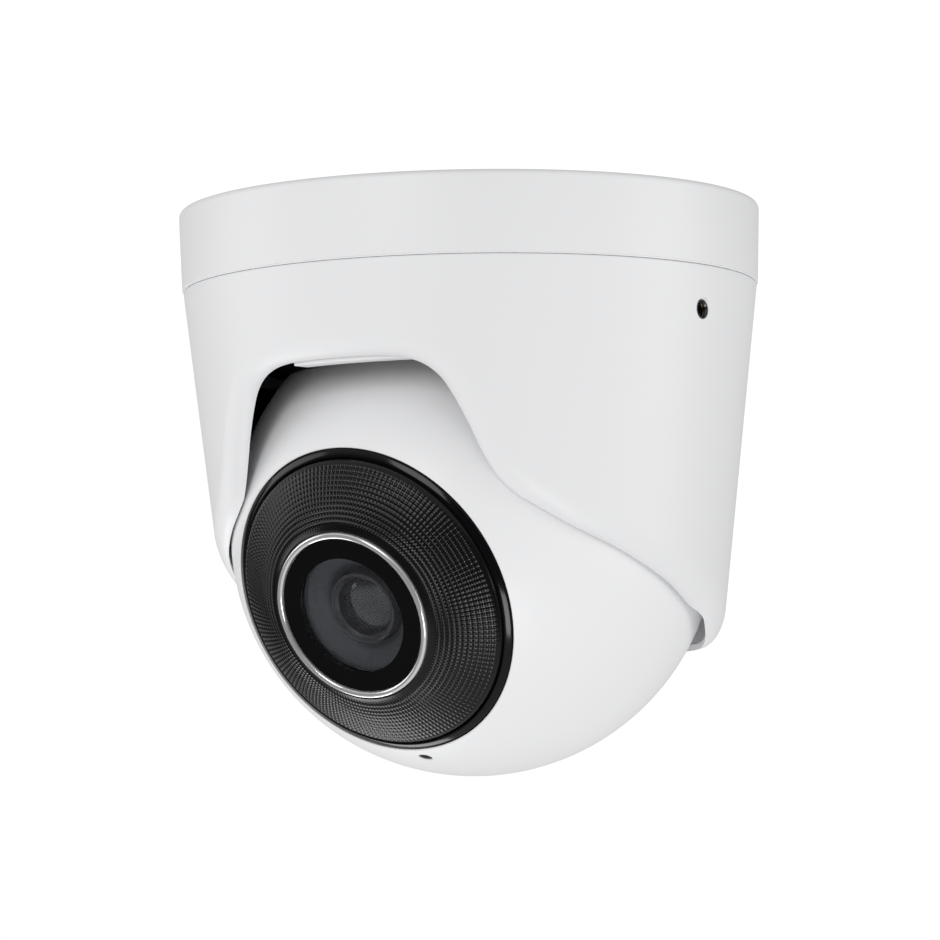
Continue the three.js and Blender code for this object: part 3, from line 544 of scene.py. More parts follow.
stud_outline = [(0, 1), (FIXING_HOLE, 1), (FIXING_HOLE, -1.4), (FIXING_HEAD, -PLATE - 0.4),
                (FIXING_HEAD, -PLATE - 1), (0, -PLATE - 1)]
stud = spun("hole_cutter", stud_outline, steps=48)
pocket = spun("pocket_cutter", rounded([
    (0, 1), (POCKET, 1), (POCKET, -POCKET_DEPTH, 0.6), (0, -POCKET_DEPTH),
]), steps=48)
for third in THIRDS:
    cut(base_skin, beside_axis(copied(stud, "stud"), third, FIXING_CIRCLE))
    for side in (-1, 1):
        cut(base_skin, beside_axis(copied(pocket, "pocket"), third + POCKET_TURN * side, FIXING_CIRCLE))
bpy.data.objects.remove(stud)
bpy.data.objects.remove(pocket)
fit_out(base_skin, housing_white, "mounting_base", "base")
print("base skin", len(base_skin.data.polygons), "faces")

# %% [markdown]
# ## Rubber, ring and spring under the base
#
# The cable comes through a grommet whose lips hold it in the plate. A pale ring lets the housing glide
# round the neck. A wave spring presses a black dish onto the ball, which is what holds its aim.

# %% Grommet
GROMMET_BORE = 7.0
grommet_low, grommet_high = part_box("cable_grommet")
lip_out = grommet_high.x / MM
lip_low = grommet_low.z / MM
grommet_out = CABLE_HOLE - 0.35
grommet = spun("grommet_skin", rounded([
    (GROMMET_BORE, -0.2, 0.8), (grommet_out, -0.2, 0.3), (grommet_out, -PLATE - SEAT, 0.1),
    (lip_out, -PLATE - SEAT, 0.5), (lip_out, lip_low, 0.8), (9.2, lip_low, 0.6), (8.6, -3.0, 1.0),
    (GROMMET_BORE, -2.2, 0.5),
]), steps=96)
fit_out(grommet, soft_rubber, "cable_grommet", "base")

# %% Glide ring
glide_low, glide_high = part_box("glide_ring")
glide_in = NECK_RADIUS + SEAT
glide_out = glide_high.x / MM
glide = spun("glide_skin", bar(glide_in, glide_out, glide_low.z / MM, glide_high.z / MM, 0.3, 0.3),
             steps=160)
fit_out(glide, pale_nylon, "glide_ring", "base")

# %% Wave spring
spring_low, spring_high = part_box("pressure_spring")
spring_out = spring_high.x / MM - 0.1
middle = (spring_low.z + spring_high.z) / 2
WAVES = 6
WIRE = 0.9
SPRING_WIDTH = 2.7
spring = spun("wave_spring", bar(spring_out - SPRING_WIDTH, spring_out, -WIRE / 2, WIRE / 2, 0.2, 0.2, 2),
              steps=144)
swing = (spring_high.z - spring_low.z) / 2 - WIRE * MM / 2
for vertex in spring.data.vertices:
    round_angle = math.atan2(vertex.co.y, vertex.co.x)
    vertex.co.z += middle + swing * math.cos(WAVES * round_angle)
fit_out(spring, bright_steel, "pressure_spring", "base")

# %% Socket dish
saddle_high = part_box("socket_saddle")[1]
saddle_out = saddle_high.x / MM
BOWL = BALL_RADIUS + 0.35
DISH_WALL = 3
DISH_MOUTH, DISH_BEND, DISH_FOOT = (math.radians(angle) for angle in (21, 36, 50))
dish_top = saddle_high.z / MM
wall_in = saddle_out - DISH_WALL
bowl = [(r, h + CENTRE_Z) for r, h in polar_arc(BOWL, DISH_MOUTH, DISH_FOOT, 20)]
back = [(r, h + CENTRE_Z) for r, h in polar_arc(BOWL + DISH_WALL, DISH_BEND, DISH_MOUTH, 10)]
dish = spun("dish_skin", bowl + rounded([
    (saddle_out, bowl[-1][1], 0.8), (saddle_out, dish_top, 0.6), (wall_in, dish_top, 0.6),
    (wall_in, back[0][1] - DISH_WALL, 1.5),
]) + back, steps=160)
fit_out(dish, liner_black, "socket_saddle", "saddle")
print("spring, ring and dish are in place under the base")

# %% [markdown]
# ## The housing
#
# The housing is a tapered shell with an arched opening, and its whole lower edge is rolled inwards in one
# soft lip. A boolean cut would leave a sharp edge that no bevel follows well round the arch. So the shell
# is a grid that is wrapped round the cone instead. Its columns start at even steps along the opening's
# edge and run up to the top, and its rows follow the section of the wall: up the outside from the rolled
# lip, over the top rim and back down the inside. The lip then keeps its shape all the way round.

# %% The opening's edge
HOUSING_TOP = housing_high.z / MM
WALL = 2.3
LIP_GAP = 0.55
REAR_LIP_GAP = 2.2
LIP_EDGE = 1.4
OPENING_EDGE = [
    (0, 34), (12.5, 33.7), (19, 32.3), (23.3, 29.5), (26.3, 25.4), (29.6, 19.3), (32.4, 13.6),
    (35.8, 8.2), (40.4, 3.9), (45.8, 0.9), (53.8, -3), (63.9, -6.8), (74.2, -10.8), (83.2, -14.2),
    (91, -17.2), (100, -20), (110, -23.6), (125, -26), (152, -26), (180, -26),
]
UNROLLED = BALL_RADIUS + CLEARANCE


def spline(points, count):
    """A smooth closed run through points that repeat end to end, at even steps, with its tangents."""
    p = np.asarray(points, float)
    before = np.vstack([p[-2:-1] - p[-1] + p[0], p[:-1]])
    after = np.vstack([p[1:], p[1:2] - p[0] + p[-1]])
    run = []
    for i in range(len(p) - 1):
        t = np.linspace(0, 1, 40, endpoint=False)[:, None]
        a, b, c, d = before[i], p[i], p[i + 1], after[i + 1]
        run.append(0.5 * (2 * b + (c - a) * t + (2 * a - 5 * b + 4 * c - d) * t**2
                          + (3 * b - a - 3 * c + d) * t**3))
    run = np.vstack(run + [p[-1:]])
    length = np.concatenate([[0], np.cumsum(np.linalg.norm(np.diff(run, axis=0), axis=1))])
    even = np.linspace(0, length[-1], count + 1)
    smooth = np.column_stack([np.interp(even, length, run[:, k]) for k in (0, 1)])
    step = np.gradient(smooth, axis=0)
    step[0] = step[-1] = (step[0] + step[-1]) / 2
    return smooth, step / np.linalg.norm(step, axis=1)[:, None]


half = [(math.radians(angle) * UNROLLED, height + CENTRE_Z) for angle, height in OPENING_EDGE]
whole = [(-x, z) for x, z in reversed(half[1:])] + half
COLUMNS = 480
edge, along = spline(whole, COLUMNS)
edge_up = np.column_stack([-along[:, 1], along[:, 0]])
print("the opening's edge is", round(float(np.hypot(*np.diff(edge, axis=0).T).sum())), "mm long")


# %% The rolled lip
def smoothstep(value, low, high):
    t = np.clip((value - low) / (high - low), 0, 1)
    return t * t * (3 - 2 * t)


ARCH_LIP_DEPTH = 4.2
REAR_LIP_DEPTH = 7.5
ARCH_LIP_ROLL = 4.6
REAR_LIP_ROLL = 7.6

rearward = smoothstep(np.abs(edge[:, 0]) / UNROLLED, math.radians(50), math.radians(100))
over = edge[:, 1] - CENTRE_Z
ball_here = np.sqrt(np.clip(BALL_RADIUS**2 - over**2, 0, None))
ball_above = np.sqrt(np.clip(BALL_RADIUS**2 - (over + LIP_EDGE) ** 2, 0, None))
behind = smoothstep(np.abs(edge[:, 0]) / UNROLLED, math.radians(93), math.radians(103))
lip_gap = LIP_GAP + (REAR_LIP_GAP - LIP_GAP) * behind
room = cone_radius(edge[:, 1]) - np.maximum(ball_here, ball_above) - lip_gap
lip_depth = np.minimum(ARCH_LIP_DEPTH + (REAR_LIP_DEPTH - ARCH_LIP_DEPTH) * rearward, room)
lip_roll = ARCH_LIP_ROLL + (REAR_LIP_ROLL - ARCH_LIP_ROLL) * rearward


def wall_row(back, inward, rise=0.0, top_drop=0.0):
    """One row of the shell: `back` from the edge, `inward` from the cone, `rise` of the way to the top."""
    x = edge[:, 0] + edge_up[:, 0] * back
    z = edge[:, 1] + edge_up[:, 1] * back
    z = z + (HOUSING_TOP - top_drop - z) * rise
    radius = cone_radius(z) - inward
    angle = x / UNROLLED
    return np.column_stack([radius * np.sin(angle), -radius * np.cos(angle), z]) * MM


def lip_rows(start, tip, steps, rising):
    """Rows through the quarter turn of the lip, `start` deep on the wall and `tip` wide at the edge."""
    rows = [wall_row(tip + (lip_roll - tip) * (1 - math.sin(q)),
                     start + (lip_depth - start) * (1 - math.cos(q)))
            for q in np.linspace(0, math.pi / 2, steps)]
    return rows[::-1] if rising else rows


# %% Wrap the grid into the housing
rim = 0.45
outside = [wall_row(lip_roll, 0, rise) for rise in (0.0, 0.02, 0.06, 0.15, 0.3, 0.5, 0.7, 0.85, 0.95)]
outside += [wall_row(lip_roll, rim * (1 - math.cos(q)), 1, rim * (1 - math.sin(q)))
            for q in np.linspace(0, math.pi / 2, 5)]
inside = [wall_row(lip_roll, WALL - rim * (1 - math.cos(q)), 1, rim * (1 - math.sin(q)))
          for q in np.linspace(math.pi / 2, 0, 5)]
inside += [wall_row(lip_roll, WALL, rise) for rise in (0.9, 0.7, 0.5, 0.3, 0.1)]
rows = lip_rows(0, 0, 22, rising=True)[:-1] + outside + inside
rows += lip_rows(WALL, LIP_EDGE, 12, rising=False)
rows.append(rows[0])
housing = wrapped("housing_skin", rows, 30)
print("housing skin", len(housing.data.polygons), "faces in", len(rows) - 1, "rows")

# %% [markdown]
# A grub screw at each side locks the housing to the neck. It sits in a threaded brass insert at the
# bottom of a small hole with a chamfered mouth, and a boss thickens the wall behind it.

# %% Lock screw holes
LOCK_ANGLE = 83.7
LOCK_HOLE = 2.15
INSERT_HOLE = 3.3
lock_wall = cone_radius(LOCK_HEIGHT)
recess = lock_wall - 1.3


def radial(piece, side):
    """Lays an upright piece along the radius of a lock screw, with +Z outwards."""
    turn = Matrix.Rotation(math.radians(side * LOCK_ANGLE), 4, "Z") @ Matrix.Rotation(math.pi / 2, 4, "X")
    piece.data.transform(Matrix.Translation((0, 0, LOCK_HEIGHT * MM)) @ turn)
    return piece


hole_outline = [(0, 55), (INSERT_HOLE, 55), (INSERT_HOLE, recess), (LOCK_HOLE, recess),
                (LOCK_HOLE, lock_wall - 0.25), (LOCK_HOLE + 0.4, lock_wall + 0.15),
                (LOCK_HOLE + 0.4, lock_wall + 3), (0, lock_wall + 3)]
for side in (-1, 1):
    cut(housing, radial(spun("lock_hole", hole_outline, steps=48), side))
fit_out(housing, housing_white, "housing_cover", "housing")

# %% Bosses behind the screws
BOSS = 4.1
boss_back = NECK_RADIUS + 0.4
boss_front = lock_wall - 1.6
for name, side in (("left", -1), ("right", 1)):
    boss = spun(f"lock_boss_{name}", rounded([
        (INSERT_HOLE, boss_back, 0.2), (BOSS, boss_back, 0.4), (BOSS + 0.6, boss_front),
        (INSERT_HOLE, boss_front),
    ]), steps=48)
    fit_out(radial(boss, side), housing_white, None, "housing")


# %% Screws and inserts
RIDGE = 0.25


def thread_outline(inner, outer, low, high, pitch, inside_thread):
    """A ring with thread ridges on its inner or its outer side."""
    crest, root, plain = inner, inner + RIDGE, outer
    if not inside_thread:
        crest, root, plain = outer, outer - RIDGE, inner
    ridges = []
    for k in range(int((high - low) / pitch)):
        at = low + (k + 0.25) * pitch
        ridges += [(root, at), (crest, at + pitch / 2)]
    return [(plain, high), (plain, low), (root, low)] + ridges + [(root, high)]


screw_end = lock_wall - 1.4
for name, side in (("left", -1), ("right", 1)):
    sleeve = spun(f"thread_sleeve_{name}", thread_outline(
        1.6, 2.12, recess, lock_wall - 0.15, 0.4, True), steps=48, smooth_angle=20)
    fit_out(radial(sleeve, side), black_steel, None, "housing")
    insert = spun(f"insert_skin_{name}", thread_outline(
        2.02, 3.0, NECK_RADIUS + 0.65, boss_front, 0.5, True), steps=48, smooth_angle=20)
    fit_out(radial(insert, side), turned_brass, f"thread_insert_{name}", "housing")
    screw = spun(f"grub_skin_{name}", thread_outline(
        0, 2.0, NECK_RADIUS - GROOVE + 0.4, screw_end, 0.5, False), steps=48, smooth_angle=20)
    bpy.ops.mesh.primitive_cylinder_add(vertices=6, radius=1.15 * MM, depth=3.6 * MM)
    socket = bpy.context.object
    socket.data.transform(Matrix.Translation((0, 0, screw_end * MM)))
    cut(screw, socket)
    fit_out(radial(screw, side), black_steel, f"lock_screw_{name}", "housing")
print("lock screws at", LOCK_ANGLE, "degrees each side of the front")

# %% [markdown]
# ## Inside the housing
#
# A thin black sleeve hides the housing's bare inner wall beside the ball, and a short white shelf stands
# inside the top of the arch. Both are sectors of a ring: an outline spun part of a turn, with its ends
# filled.


# %% Sectors of a ring
def sector(name, outline, start, end, steps):
    """An outline spun from one angle to another, in degrees round from the front, with closed ends."""
    bpy.ops.object.select_all(action="DESELECT")
    bpy.ops.mesh.primitive_circle_add(vertices=len(outline), fill_type="NGON")
    piece = bpy.context.object
    piece.name = name
    first = math.radians(start)
    for vertex, (radius, height) in zip(piece.data.vertices, outline):
        vertex.co = (radius * MM * math.sin(first), -radius * MM * math.cos(first), height * MM)
    bpy.ops.object.mode_set(mode="EDIT")
    bpy.ops.mesh.select_all(action="SELECT")
    bpy.ops.mesh.duplicate()
    bpy.ops.mesh.select_all(action="SELECT")
    bpy.ops.mesh.remove_doubles(threshold=2e-6)
    bpy.ops.mesh.spin(steps=steps, angle=-math.radians(end - start), center=(0, 0, 0), axis=(0, 0, 1))
    bpy.ops.object.mode_set(mode="OBJECT")
    tidy_mesh(piece)
    spread = [math.degrees(math.atan2(v.co.x, -v.co.y)) for v in piece.data.vertices]
    print(name, "runs from", round(min(spread), 1), "to", round(max(spread), 1), "degrees")
    return piece


liner_low, liner_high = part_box("inner_liner")


def liner_radius(z):
    return cone_radius(z) - WALL - SEAT


LINER_START = 44
liner_top = liner_high.z / MM
liner_foot = liner_low.z / MM
liner = sector("liner_skin", rounded([
    (liner_radius(liner_foot), liner_foot, 0.3), (liner_radius(liner_top), liner_top, 0.3),
    (liner_radius(liner_top) - 1, liner_top, 0.3), (liner_radius(liner_foot) - 1, liner_foot, 0.3),
]), LINER_START, 360 - LINER_START, 160)
fit_out(liner, liner_black, "inner_liner", "housing")

# %% Shelf inside the arch
ledge_low, ledge_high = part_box("arch_ledge")
SHELF_WIDTH = 4.5
SHELF_START, SHELF_END = -11.3, 19
shelf_low = ledge_low.z / MM - 0.35
shelf_high = ledge_high.z / MM
shelf_out = cone_radius(ledge_low.z / MM) - ARCH_LIP_DEPTH - SEAT
ledge = sector("ledge_skin", bar(shelf_out - SHELF_WIDTH, shelf_out, shelf_low, shelf_high, 0.3, 0.5),
               SHELF_START, SHELF_END, 40)
fit_out(ledge, housing_white, "arch_ledge", "housing")

# %% [markdown]
# ## The ball
#
# The ball is two spun shells that meet behind the middle, where the housing hides the joint. The front
# shell has a round opening for the black face, and a small hole under it for the microphone.

# %% Ball shells
DISC = 34.95
JOINT = -30.9
JOINT_GAP = 0.8
inside_radius = BALL_RADIUS - BALL_WALL
front_angle = math.asin(DISC / BALL_RADIUS)
joint_top = JOINT + JOINT_GAP
shell_outline = polar_arc(BALL_RADIUS, front_angle + 0.006, math.acos(joint_top / BALL_RADIUS), 90)
shell_outline += polar_arc(inside_radius, math.acos(joint_top / inside_radius),
                           math.asin(DISC / inside_radius), 40)
shell_outline += [(DISC, math.sqrt(BALL_RADIUS**2 - DISC**2) - 0.35)]
shell = spun("ball_skin", shell_outline, steps=256)

MICROPHONE_ANGLE = 44.7
MICROPHONE_HOLE = 1.5
sound_hole = spun("sound_hole", [
    (0, 45), (MICROPHONE_HOLE, 45), (MICROPHONE_HOLE, BALL_RADIUS - 0.2),
    (MICROPHONE_HOLE + 0.25, BALL_RADIUS + 0.1), (MICROPHONE_HOLE + 0.25, BALL_RADIUS + 3),
    (0, BALL_RADIUS + 3),
], steps=40)
under_face = Matrix.Rotation(math.radians(MICROPHONE_ANGLE), 4, "X")
sound_hole.data.transform(under_face)
cut(shell, sound_hole)
fit_out(laid_in_ball(shell), ball_white, "ball_shell", "ball")

# %% [markdown]
# A rubber boot fills the sound hole from inside. Its narrow neck leaves only a pinhole for the sound, so
# the hole looks black, and its wide foot wraps the microphone.

# %% Microphone boot
foot = BALL_RADIUS - BALL_WALL - 0.35
boot_neck = MICROPHONE_HOLE - 0.03
boot = spun("boot_skin", rounded([
    (0, foot - 2.6), (0, foot - 3.2), (2.9, foot - 3.2, 0.4), (2.9, foot, 0.3), (boot_neck, foot),
    (boot_neck, BALL_RADIUS - 0.3, 0.1), (0.5, BALL_RADIUS - 0.5, 0.1), (0.45, foot - 2.6),
]), steps=48)
boot.data.transform(under_face)
fit_out(laid_in_ball(boot), soft_rubber, "microphone_boot", "ball")

# %% Rear cap
gland_hole = 11.4
cap_top = JOINT - JOINT_GAP
cap_outline = polar_arc(BALL_RADIUS, math.acos(cap_top / BALL_RADIUS),
                        math.pi - math.asin(gland_hole / BALL_RADIUS), 50)
cap_outline += polar_arc(inside_radius, math.pi - math.asin(gland_hole / inside_radius),
                         math.acos(cap_top / inside_radius), 30)
cap = spun("rear_skin", cap_outline, steps=192)
SCREW_CIRCLE = 34.0
SCREW_SEAT = JOINT - 4.6
SCREW_HEAD = 3.3
SCREW_SHANK = 1.8
for third in THIRDS:
    bore = spun("bore_cutter", [
        (0, -60), (SCREW_HEAD, -60), (SCREW_HEAD, SCREW_SEAT), (SCREW_SHANK, SCREW_SEAT),
        (SCREW_SHANK, -20), (0, -20),
    ], steps=40)
    cut(cap, beside_axis(bore, third, SCREW_CIRCLE))
fit_out(laid_in_ball(cap), ball_white, "rear_cap", "ball")
print("the ball's two shells meet", -JOINT, "mm behind its centre")

# %% [markdown]
# ## The black face
#
# The face follows the ball's curve. Raised dots along circles and spokes catch the light as a soft
# sparkle. They are real geometry: a grid is wrapped into a ring with four points to each dot both ways,
# and the points in the middle of each dot are lifted. A plain band is left next to the bright ring.

# %% Face sizes
FACE_RADIUS = BALL_RADIUS - 0.4
CHROME = 18.87
CHROME_WIDTH = 1.2
RIM_OUT = DISC - SEAT
RIM_IN = RIM_OUT - 1.7
FACE_OUT = RIM_IN - SEAT
FACE_IN = CHROME + SEAT
SPOKES = 180
DOT_ROWS = 12
DOT_HEIGHT = 0.27
PLAIN_BAND = 1.5
face_back = lens_box("front_bezel")[0].z

# %% Wrap the dotted face
across = 4
columns = SPOKES * across
dots_from = math.asin((FACE_IN + PLAIN_BAND) / FACE_RADIUS)
dots_to = math.asin((FACE_OUT - 0.35) / FACE_RADIUS)
polar = np.linspace(dots_from, dots_to, DOT_ROWS * across + 1)
turn = np.linspace(0, 2 * math.pi, columns + 1)


def face_row(radius, height, lift=0.0):
    """A ring of points, lifted outwards along the ball's radius by `lift` millimetres."""
    length = math.hypot(radius, height)
    r = radius * (1 + np.asarray(lift) / length) * np.ones(columns + 1)
    z = height * (1 + np.asarray(lift) / length) * np.ones(columns + 1)
    return np.column_stack([r * np.cos(turn), r * np.sin(turn), z]) * MM


spoke_wave = np.sin(np.arange(columns + 1) * math.pi / across) ** 2
rows = [face_row(FACE_IN, math.sqrt(FACE_RADIUS**2 - FACE_IN**2) - 2),
        face_row(FACE_IN, math.sqrt(FACE_RADIUS**2 - FACE_IN**2) - 0.25),
        face_row(FACE_IN + 0.25, math.sqrt(FACE_RADIUS**2 - (FACE_IN + 0.25) ** 2))]
for k, angle in enumerate(polar):
    ring_wave = math.sin(k * math.pi / across) ** 2
    rows.append(face_row(FACE_RADIUS * math.sin(angle), FACE_RADIUS * math.cos(angle),
                         DOT_HEIGHT * ring_wave * spoke_wave - 0.1))
face_edge = math.sqrt(FACE_RADIUS**2 - FACE_OUT**2)
rows += [face_row(FACE_OUT, face_edge - 0.25), face_row(FACE_OUT, face_back),
         face_row(FACE_OUT - 1, face_back),
         face_row(FACE_OUT - 1, math.sqrt((FACE_RADIUS - 2) ** 2 - (FACE_OUT - 1) ** 2))]
rows += [face_row(r, h) for r, h in reversed(ball_arc(FACE_RADIUS - 2, FACE_IN, FACE_OUT - 1, 8))][1:]
rows.append(rows[0])
face = wrapped("dotted_face", rows, 50)
fit_out(laid_in_ball(face), face_black, "front_bezel", "ball")
print("the face has", SPOKES * DOT_ROWS, "raised dots")

# %% Polished rim round the face
rim_back = lens_box("face_rim")[0].z
rim_front = math.sqrt(FACE_RADIUS**2 - RIM_IN**2)
face_rim = spun("polished_rim", rounded([
    (RIM_IN, rim_front - 0.15, 0.7), (RIM_OUT, math.sqrt(FACE_RADIUS**2 - RIM_OUT**2), 0.7),
    (RIM_OUT, rim_back, 0.1), (RIM_IN, rim_back, 0.1),
], steps=8), steps=256, smooth_angle=60)
fit_out(laid_in_ball(face_rim), rim_black, "face_rim", "ball")

# %% [markdown]
# ## The window
#
# A flat glass sits in a bright ring, a little below the face. A black mask is printed round its front
# edge. Through the mask a grey cone leads down to the lens barrel, and the front lens is an opaque dome in
# the barrel's mouth, painted near-black as shade for the dark barrel behind it.

# %% Bright ring
chrome_low, chrome_high = lens_box("chrome_ring")
chrome_in = CHROME - CHROME_WIDTH
ring_out = CHROME + 0.12
ring_front = chrome_high.z + 0.05
chrome_ring = spun("bright_ring", bar(chrome_in, ring_out, chrome_low.z, ring_front, 0, 0.62, 8),
                   steps=192, smooth_angle=60)
fit_out(laid_in_ball(chrome_ring), ring_chrome, "chrome_ring", "ball")

# %% Glass, mask and gasket
WINDOW = chrome_in - SEAT
window_low, window_high = lens_box("lens_window")
window = spun("window_pane", rounded([
    (0, window_low.z), (WINDOW, window_low.z, 0.25), (WINDOW, window_high.z, 0.25), (0, window_high.z),
], steps=4), steps=160)
window.visible_shadow = False
fit_out(laid_in_ball(window), window_glass, "lens_window", "ball")

MASK_BORE = WINDOW - 4.3
mask_low = window_high.z + 0.01
mask_high = window_high.z + 0.05
mask = spun("printed_mask", [(MASK_BORE, mask_low), (WINDOW, mask_low), (WINDOW, mask_high),
                             (MASK_BORE, mask_high)], steps=160)
fit_out(laid_in_ball(mask), mask_black, "window_mask", "ball")

gasket_low, gasket_high = lens_box("window_gasket")
gasket_in = WINDOW - 2.9
gasket = spun("gasket_skin", bar(gasket_in, WINDOW, gasket_low.z, gasket_high.z, 0.3, 0.3, 3), steps=128)
fit_out(laid_in_ball(gasket), soft_rubber, "window_gasket", "ball")

# %% Shroud, barrel and lenses
BARREL = 8.0
shroud_low, shroud_high = lens_box("lens_shroud")
cone_low, cone_high = shroud_low.z, shroud_high.z
cone_in = BARREL + SEAT
cone_out = gasket_in - SEAT
shroud = spun("shroud_skin", rounded([
    (cone_in, cone_low, 0.2), (BARREL + 1.3, cone_low, 0.4), (cone_out, cone_high - 1, 0.4),
    (cone_out, cone_high, 0.2), (cone_out - 1, cone_high, 0.5), (BARREL + 1.2, cone_low + 1.6, 0.8),
    (cone_in, cone_low + 1.2, 0.3),
], steps=4), steps=128)
fit_out(laid_in_ball(shroud), shroud_grey, "lens_shroud", "ball")

barrel_low, barrel_high = lens_box("lens_barrel")
barrel_front = barrel_high.z
mouth = 6.5
barrel = spun("barrel_skin", rounded([
    (4.7, barrel_low.z, 0.3), (BARREL, barrel_low.z, 0.4), (BARREL, barrel_front, 0.5),
    (mouth + 0.9, barrel_front, 0.3), (mouth + 0.6, barrel_front - 0.5), (mouth, barrel_front - 1),
    (mouth, barrel_front - 5), (3.7, barrel_front - 5), (3.7, barrel_low.z + 3), (4.7, barrel_low.z + 3),
], steps=4), steps=128)
fit_out(laid_in_ball(barrel), barrel_black, "lens_barrel", "ball")


def lens_element(name, node, radius, crown, edge):
    """A lens with a domed front and a flat back, on the node's own place."""
    low, high = lens_box(node)
    curve = (radius**2 + crown**2) / (2 * crown)
    dome = [(r, h - curve + high.z) for r, h in reversed(ball_arc(curve, 0, radius, 16))]
    lens = spun(name, [(0, low.z), (radius - edge, low.z), (radius, low.z + edge)] + dome, steps=96,
                smooth_angle=50)
    lens.visible_shadow = False
    fit_out(laid_in_ball(lens), lens_painted_shade, node, "ball")


lens_element("front_element", "front_lens", 6.2, 1.6, 0.3)
lens_element("rear_element", "rear_lens", 4.4, 0.3, 0.2)
print("the window is", round(2 * WINDOW, 1), "mm across")

# %% [markdown]
# ## The pieces inside
#
# Boards, brackets and the heat sink keep their CAD shapes, because those shapes are already right. What
# they need is their finish. A short list pairs each finish with its nodes.

# %% Finishes for the inner nodes
inner_finishes = {
    moulded_black: ["front_frame", "lens_holder", "filter_carriage", "gland_body", "gland_nut"],
    soft_rubber: ["gland_seal", "shell_seal", "light_baffle"],
    bright_steel: ["rear_screw_1", "rear_screw_2", "rear_screw_3", "lens_lock_ring", "memory_card_slot"],
    cast_aluminium: ["heat_sink", "microphone"],
    board_green: ["led_board", "sensor_board", "main_board"],
    pale_nylon: ["ribbon_cable", "board_connector"],
    chip_black: ["processor", "network_transformer"],
    can_blue: ["capacitor_1", "capacitor_2"],
    lamp_dark: [f"infrared_led_{number}" for number in range(1, 5)],
    pad_blue: ["thermal_pad"],
    sensor_dark: ["image_sensor"],
    filter_glass: ["daylight_filter"],
    window_glass: ["clear_pane"],
}
for material, names in inner_finishes.items():
    for name in names:
        dress(nodes[name], material)

# %% [markdown]
# ## Floor, light and camera
#
# The object hangs above a pale floor in a soft white studio. White paint needs broad even light, or it
# turns grey. Black gloss shows only what it reflects, so the studio that mirrors see is mostly dark, with
# a bright top and bottom. The world shader tells those two kinds of ray apart.

# %% Floor
bpy.ops.object.select_all(action="DESELECT")
FLOOR_Z = -0.34
bpy.ops.mesh.primitive_plane_add(size=6, location=(0, 0, FLOOR_Z))
floor = bpy.context.object
floor.name = "floor"
floor.visible_glossy = False
floor.visible_diffuse = False
floor.visible_shadow = False
dress(floor, finish("floor_pale", (0.86, 0.86, 0.86), 0.7, grain_scale=40, depth=0.0, tone_change=0.01))


# %% World
STUDIO_STRENGTH = 0.46
# What a mirror sees at each height of the studio, from straight down at 0 to straight up at 1.
MIRRORED = ((0.13, 0.95), (0.2, 0.05), (0.56, 0.03), (0.66, 0.3), (0.74, 0.9))


def build_world():
    """A studio that is bright for the camera and for paint, and mostly dark for mirrors."""
    world = bpy.data.worlds.new("studio")
    world.use_nodes = True
    bpy.context.scene.world = world
    tree = world.node_tree
    background = tree.nodes["Background"]
    coords = tree.nodes.new("ShaderNodeTexCoord")
    split = tree.nodes.new("ShaderNodeSeparateXYZ")
    tree.links.new(coords.outputs["Generated"], split.inputs[0])
    ramp = tree.nodes.new("ShaderNodeValToRGB")
    height = math_node(tree, "MULTIPLY_ADD", (0, 0), split.outputs["Z"], 0.5)
    height.inputs[2].default_value = 0.5
    tree.links.new(height.outputs[0], ramp.inputs["Fac"])
    ramp.color_ramp.interpolation = "EASE"
    stops = ramp.color_ramp.elements
    stops[0].color = (1, 1, 1, 1)
    for position, value in MIRRORED:
        stop = stops.new(position)
        stop.color = (value, value, value, 1)
    soft = tree.nodes.new("ShaderNodeValToRGB")
    tree.links.new(height.outputs[0], soft.inputs["Fac"])
    soft.color_ramp.elements[0].color = (1.3, 1.3, 1.3, 1)
    soft.color_ramp.elements[1].color = (0.9, 0.9, 0.9, 1)
    # The backdrop behind the object is bright too, and shows along the glancing edges.
    behind = math_node(tree, "MULTIPLY_ADD", (0, -200), split.outputs["Y"], 3.0)
    behind.inputs[2].default_value = -0.4
    behind.use_clamp = True
    path = tree.nodes.new("ShaderNodeLightPath")
    is_camera = path.outputs["Is Camera Ray"]
    glossy = mix_node(tree, behind.outputs[0], ramp.outputs["Color"], (0.9, 0.9, 0.9, 1))
    mix = mix_node(tree, path.outputs["Is Glossy Ray"], soft.outputs["Color"], glossy.outputs["Result"])
    seen = mix_node(tree, is_camera, mix.outputs["Result"], (1.05, 1.05, 1.05, 1))
    tree.links.new(seen.outputs["Result"], background.inputs["Color"])
    strength = mix_node(tree, is_camera, STUDIO_STRENGTH, 1.0, "FLOAT")
    tree.links.new(strength.outputs["Result"], background.inputs["Strength"])
    # Rays meet the studio only by chance: aimed at it, they don't say whether they are glossy.
    world.cycles.sampling_method = "NONE"


build_world()


# %% Lamps
LIGHT_HEIGHT = -0.06


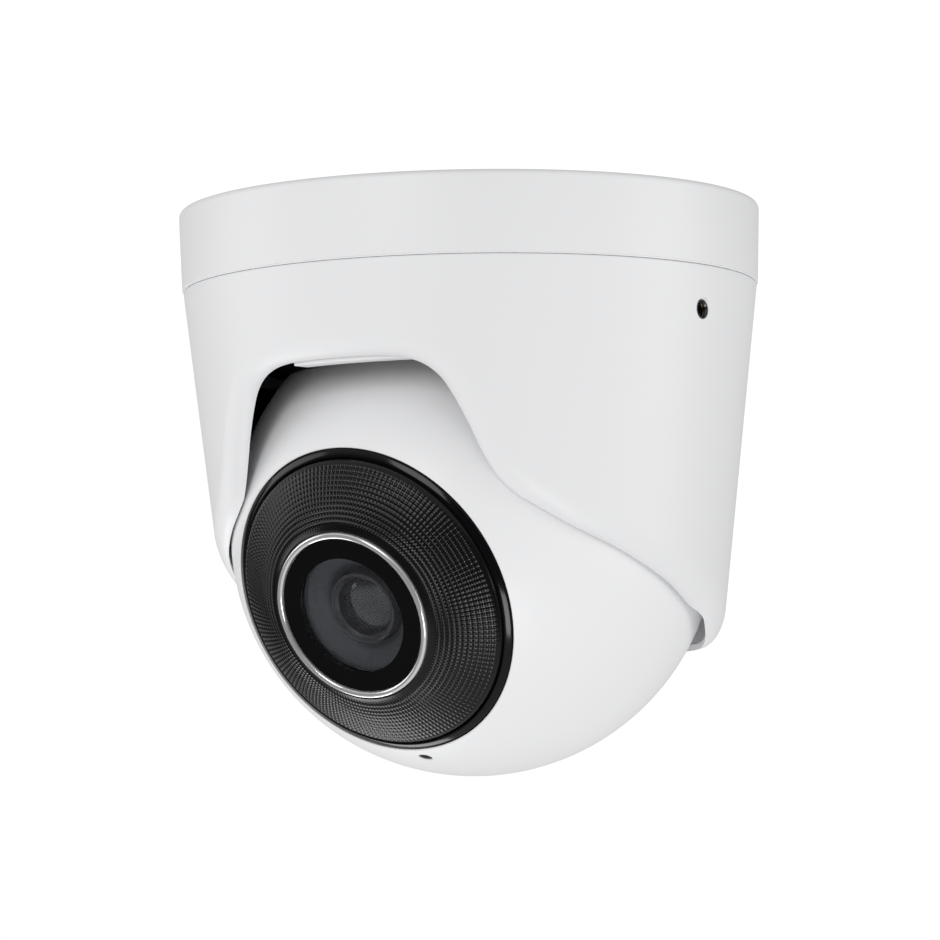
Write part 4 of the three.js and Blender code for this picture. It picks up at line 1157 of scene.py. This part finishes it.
def soft_lamp(name, azimuth, elevation, distance, size, power):
    """A square soft box that looks at the ball."""
    a = math.radians(azimuth)
    e = math.radians(elevation)
    way = Vector((math.sin(a) * math.cos(e), -math.cos(a) * math.cos(e), math.sin(e)))
    bpy.ops.object.light_add(type="AREA", location=Vector((0, 0, LIGHT_HEIGHT)) + way * distance)
    lamp = bpy.context.object
    lamp.name = name
    lamp.data.size = size
    lamp.data.energy = power
    lamp.rotation_euler = way.to_track_quat("Z", "Y").to_euler()


soft_lamp("left_lamp", -66, 10, 1.6, 0.9, 4.4)
soft_lamp("front_lamp", 0, 16, 1.6, 0.7, 5.6)
soft_lamp("right_lamp", 112, 8, 1.6, 0.9, 6.6)
soft_lamp("low_lamp", 40, -44, 1.5, 0.5, 5.2)
soft_lamp("under_lamp", -110, -53, 1.5, 0.6, 4.4)

# %% Camera
# The camera stands to the right of the front and a little below the base, with a long lens.
CAMERA_AZIMUTH = math.radians(30.6)
CAMERA_ELEVATION = math.radians(-5.197)
CAMERA_DISTANCE = 1.1863
CAMERA_ROLL = -0.0164
AIM_HEIGHT = -0.058
FOCAL_LENGTH = 204.97
aim = Vector((0, 0, AIM_HEIGHT))
level = Vector((math.cos(CAMERA_AZIMUTH), math.sin(CAMERA_AZIMUTH), 0))
towards = Vector((math.sin(CAMERA_AZIMUTH) * math.cos(CAMERA_ELEVATION),
                  -math.cos(CAMERA_AZIMUTH) * math.cos(CAMERA_ELEVATION), math.sin(CAMERA_ELEVATION)))
upright = towards.cross(level)
right = math.cos(CAMERA_ROLL) * level + math.sin(CAMERA_ROLL) * upright
above = towards.cross(right)
place = aim + towards * CAMERA_DISTANCE

bpy.ops.object.camera_add(location=place)
camera = bpy.context.object
camera.matrix_world = axes_matrix(right, above, towards, place)
camera.data.sensor_width = 36
camera.data.lens = FOCAL_LENGTH
camera.data.shift_x = -0.0033
camera.data.clip_start = 0.05
bpy.context.scene.camera = camera
bpy.context.scene.view_settings.view_transform = "Standard"
print("camera", round((place - aim).length, 3), "m from the camera body")
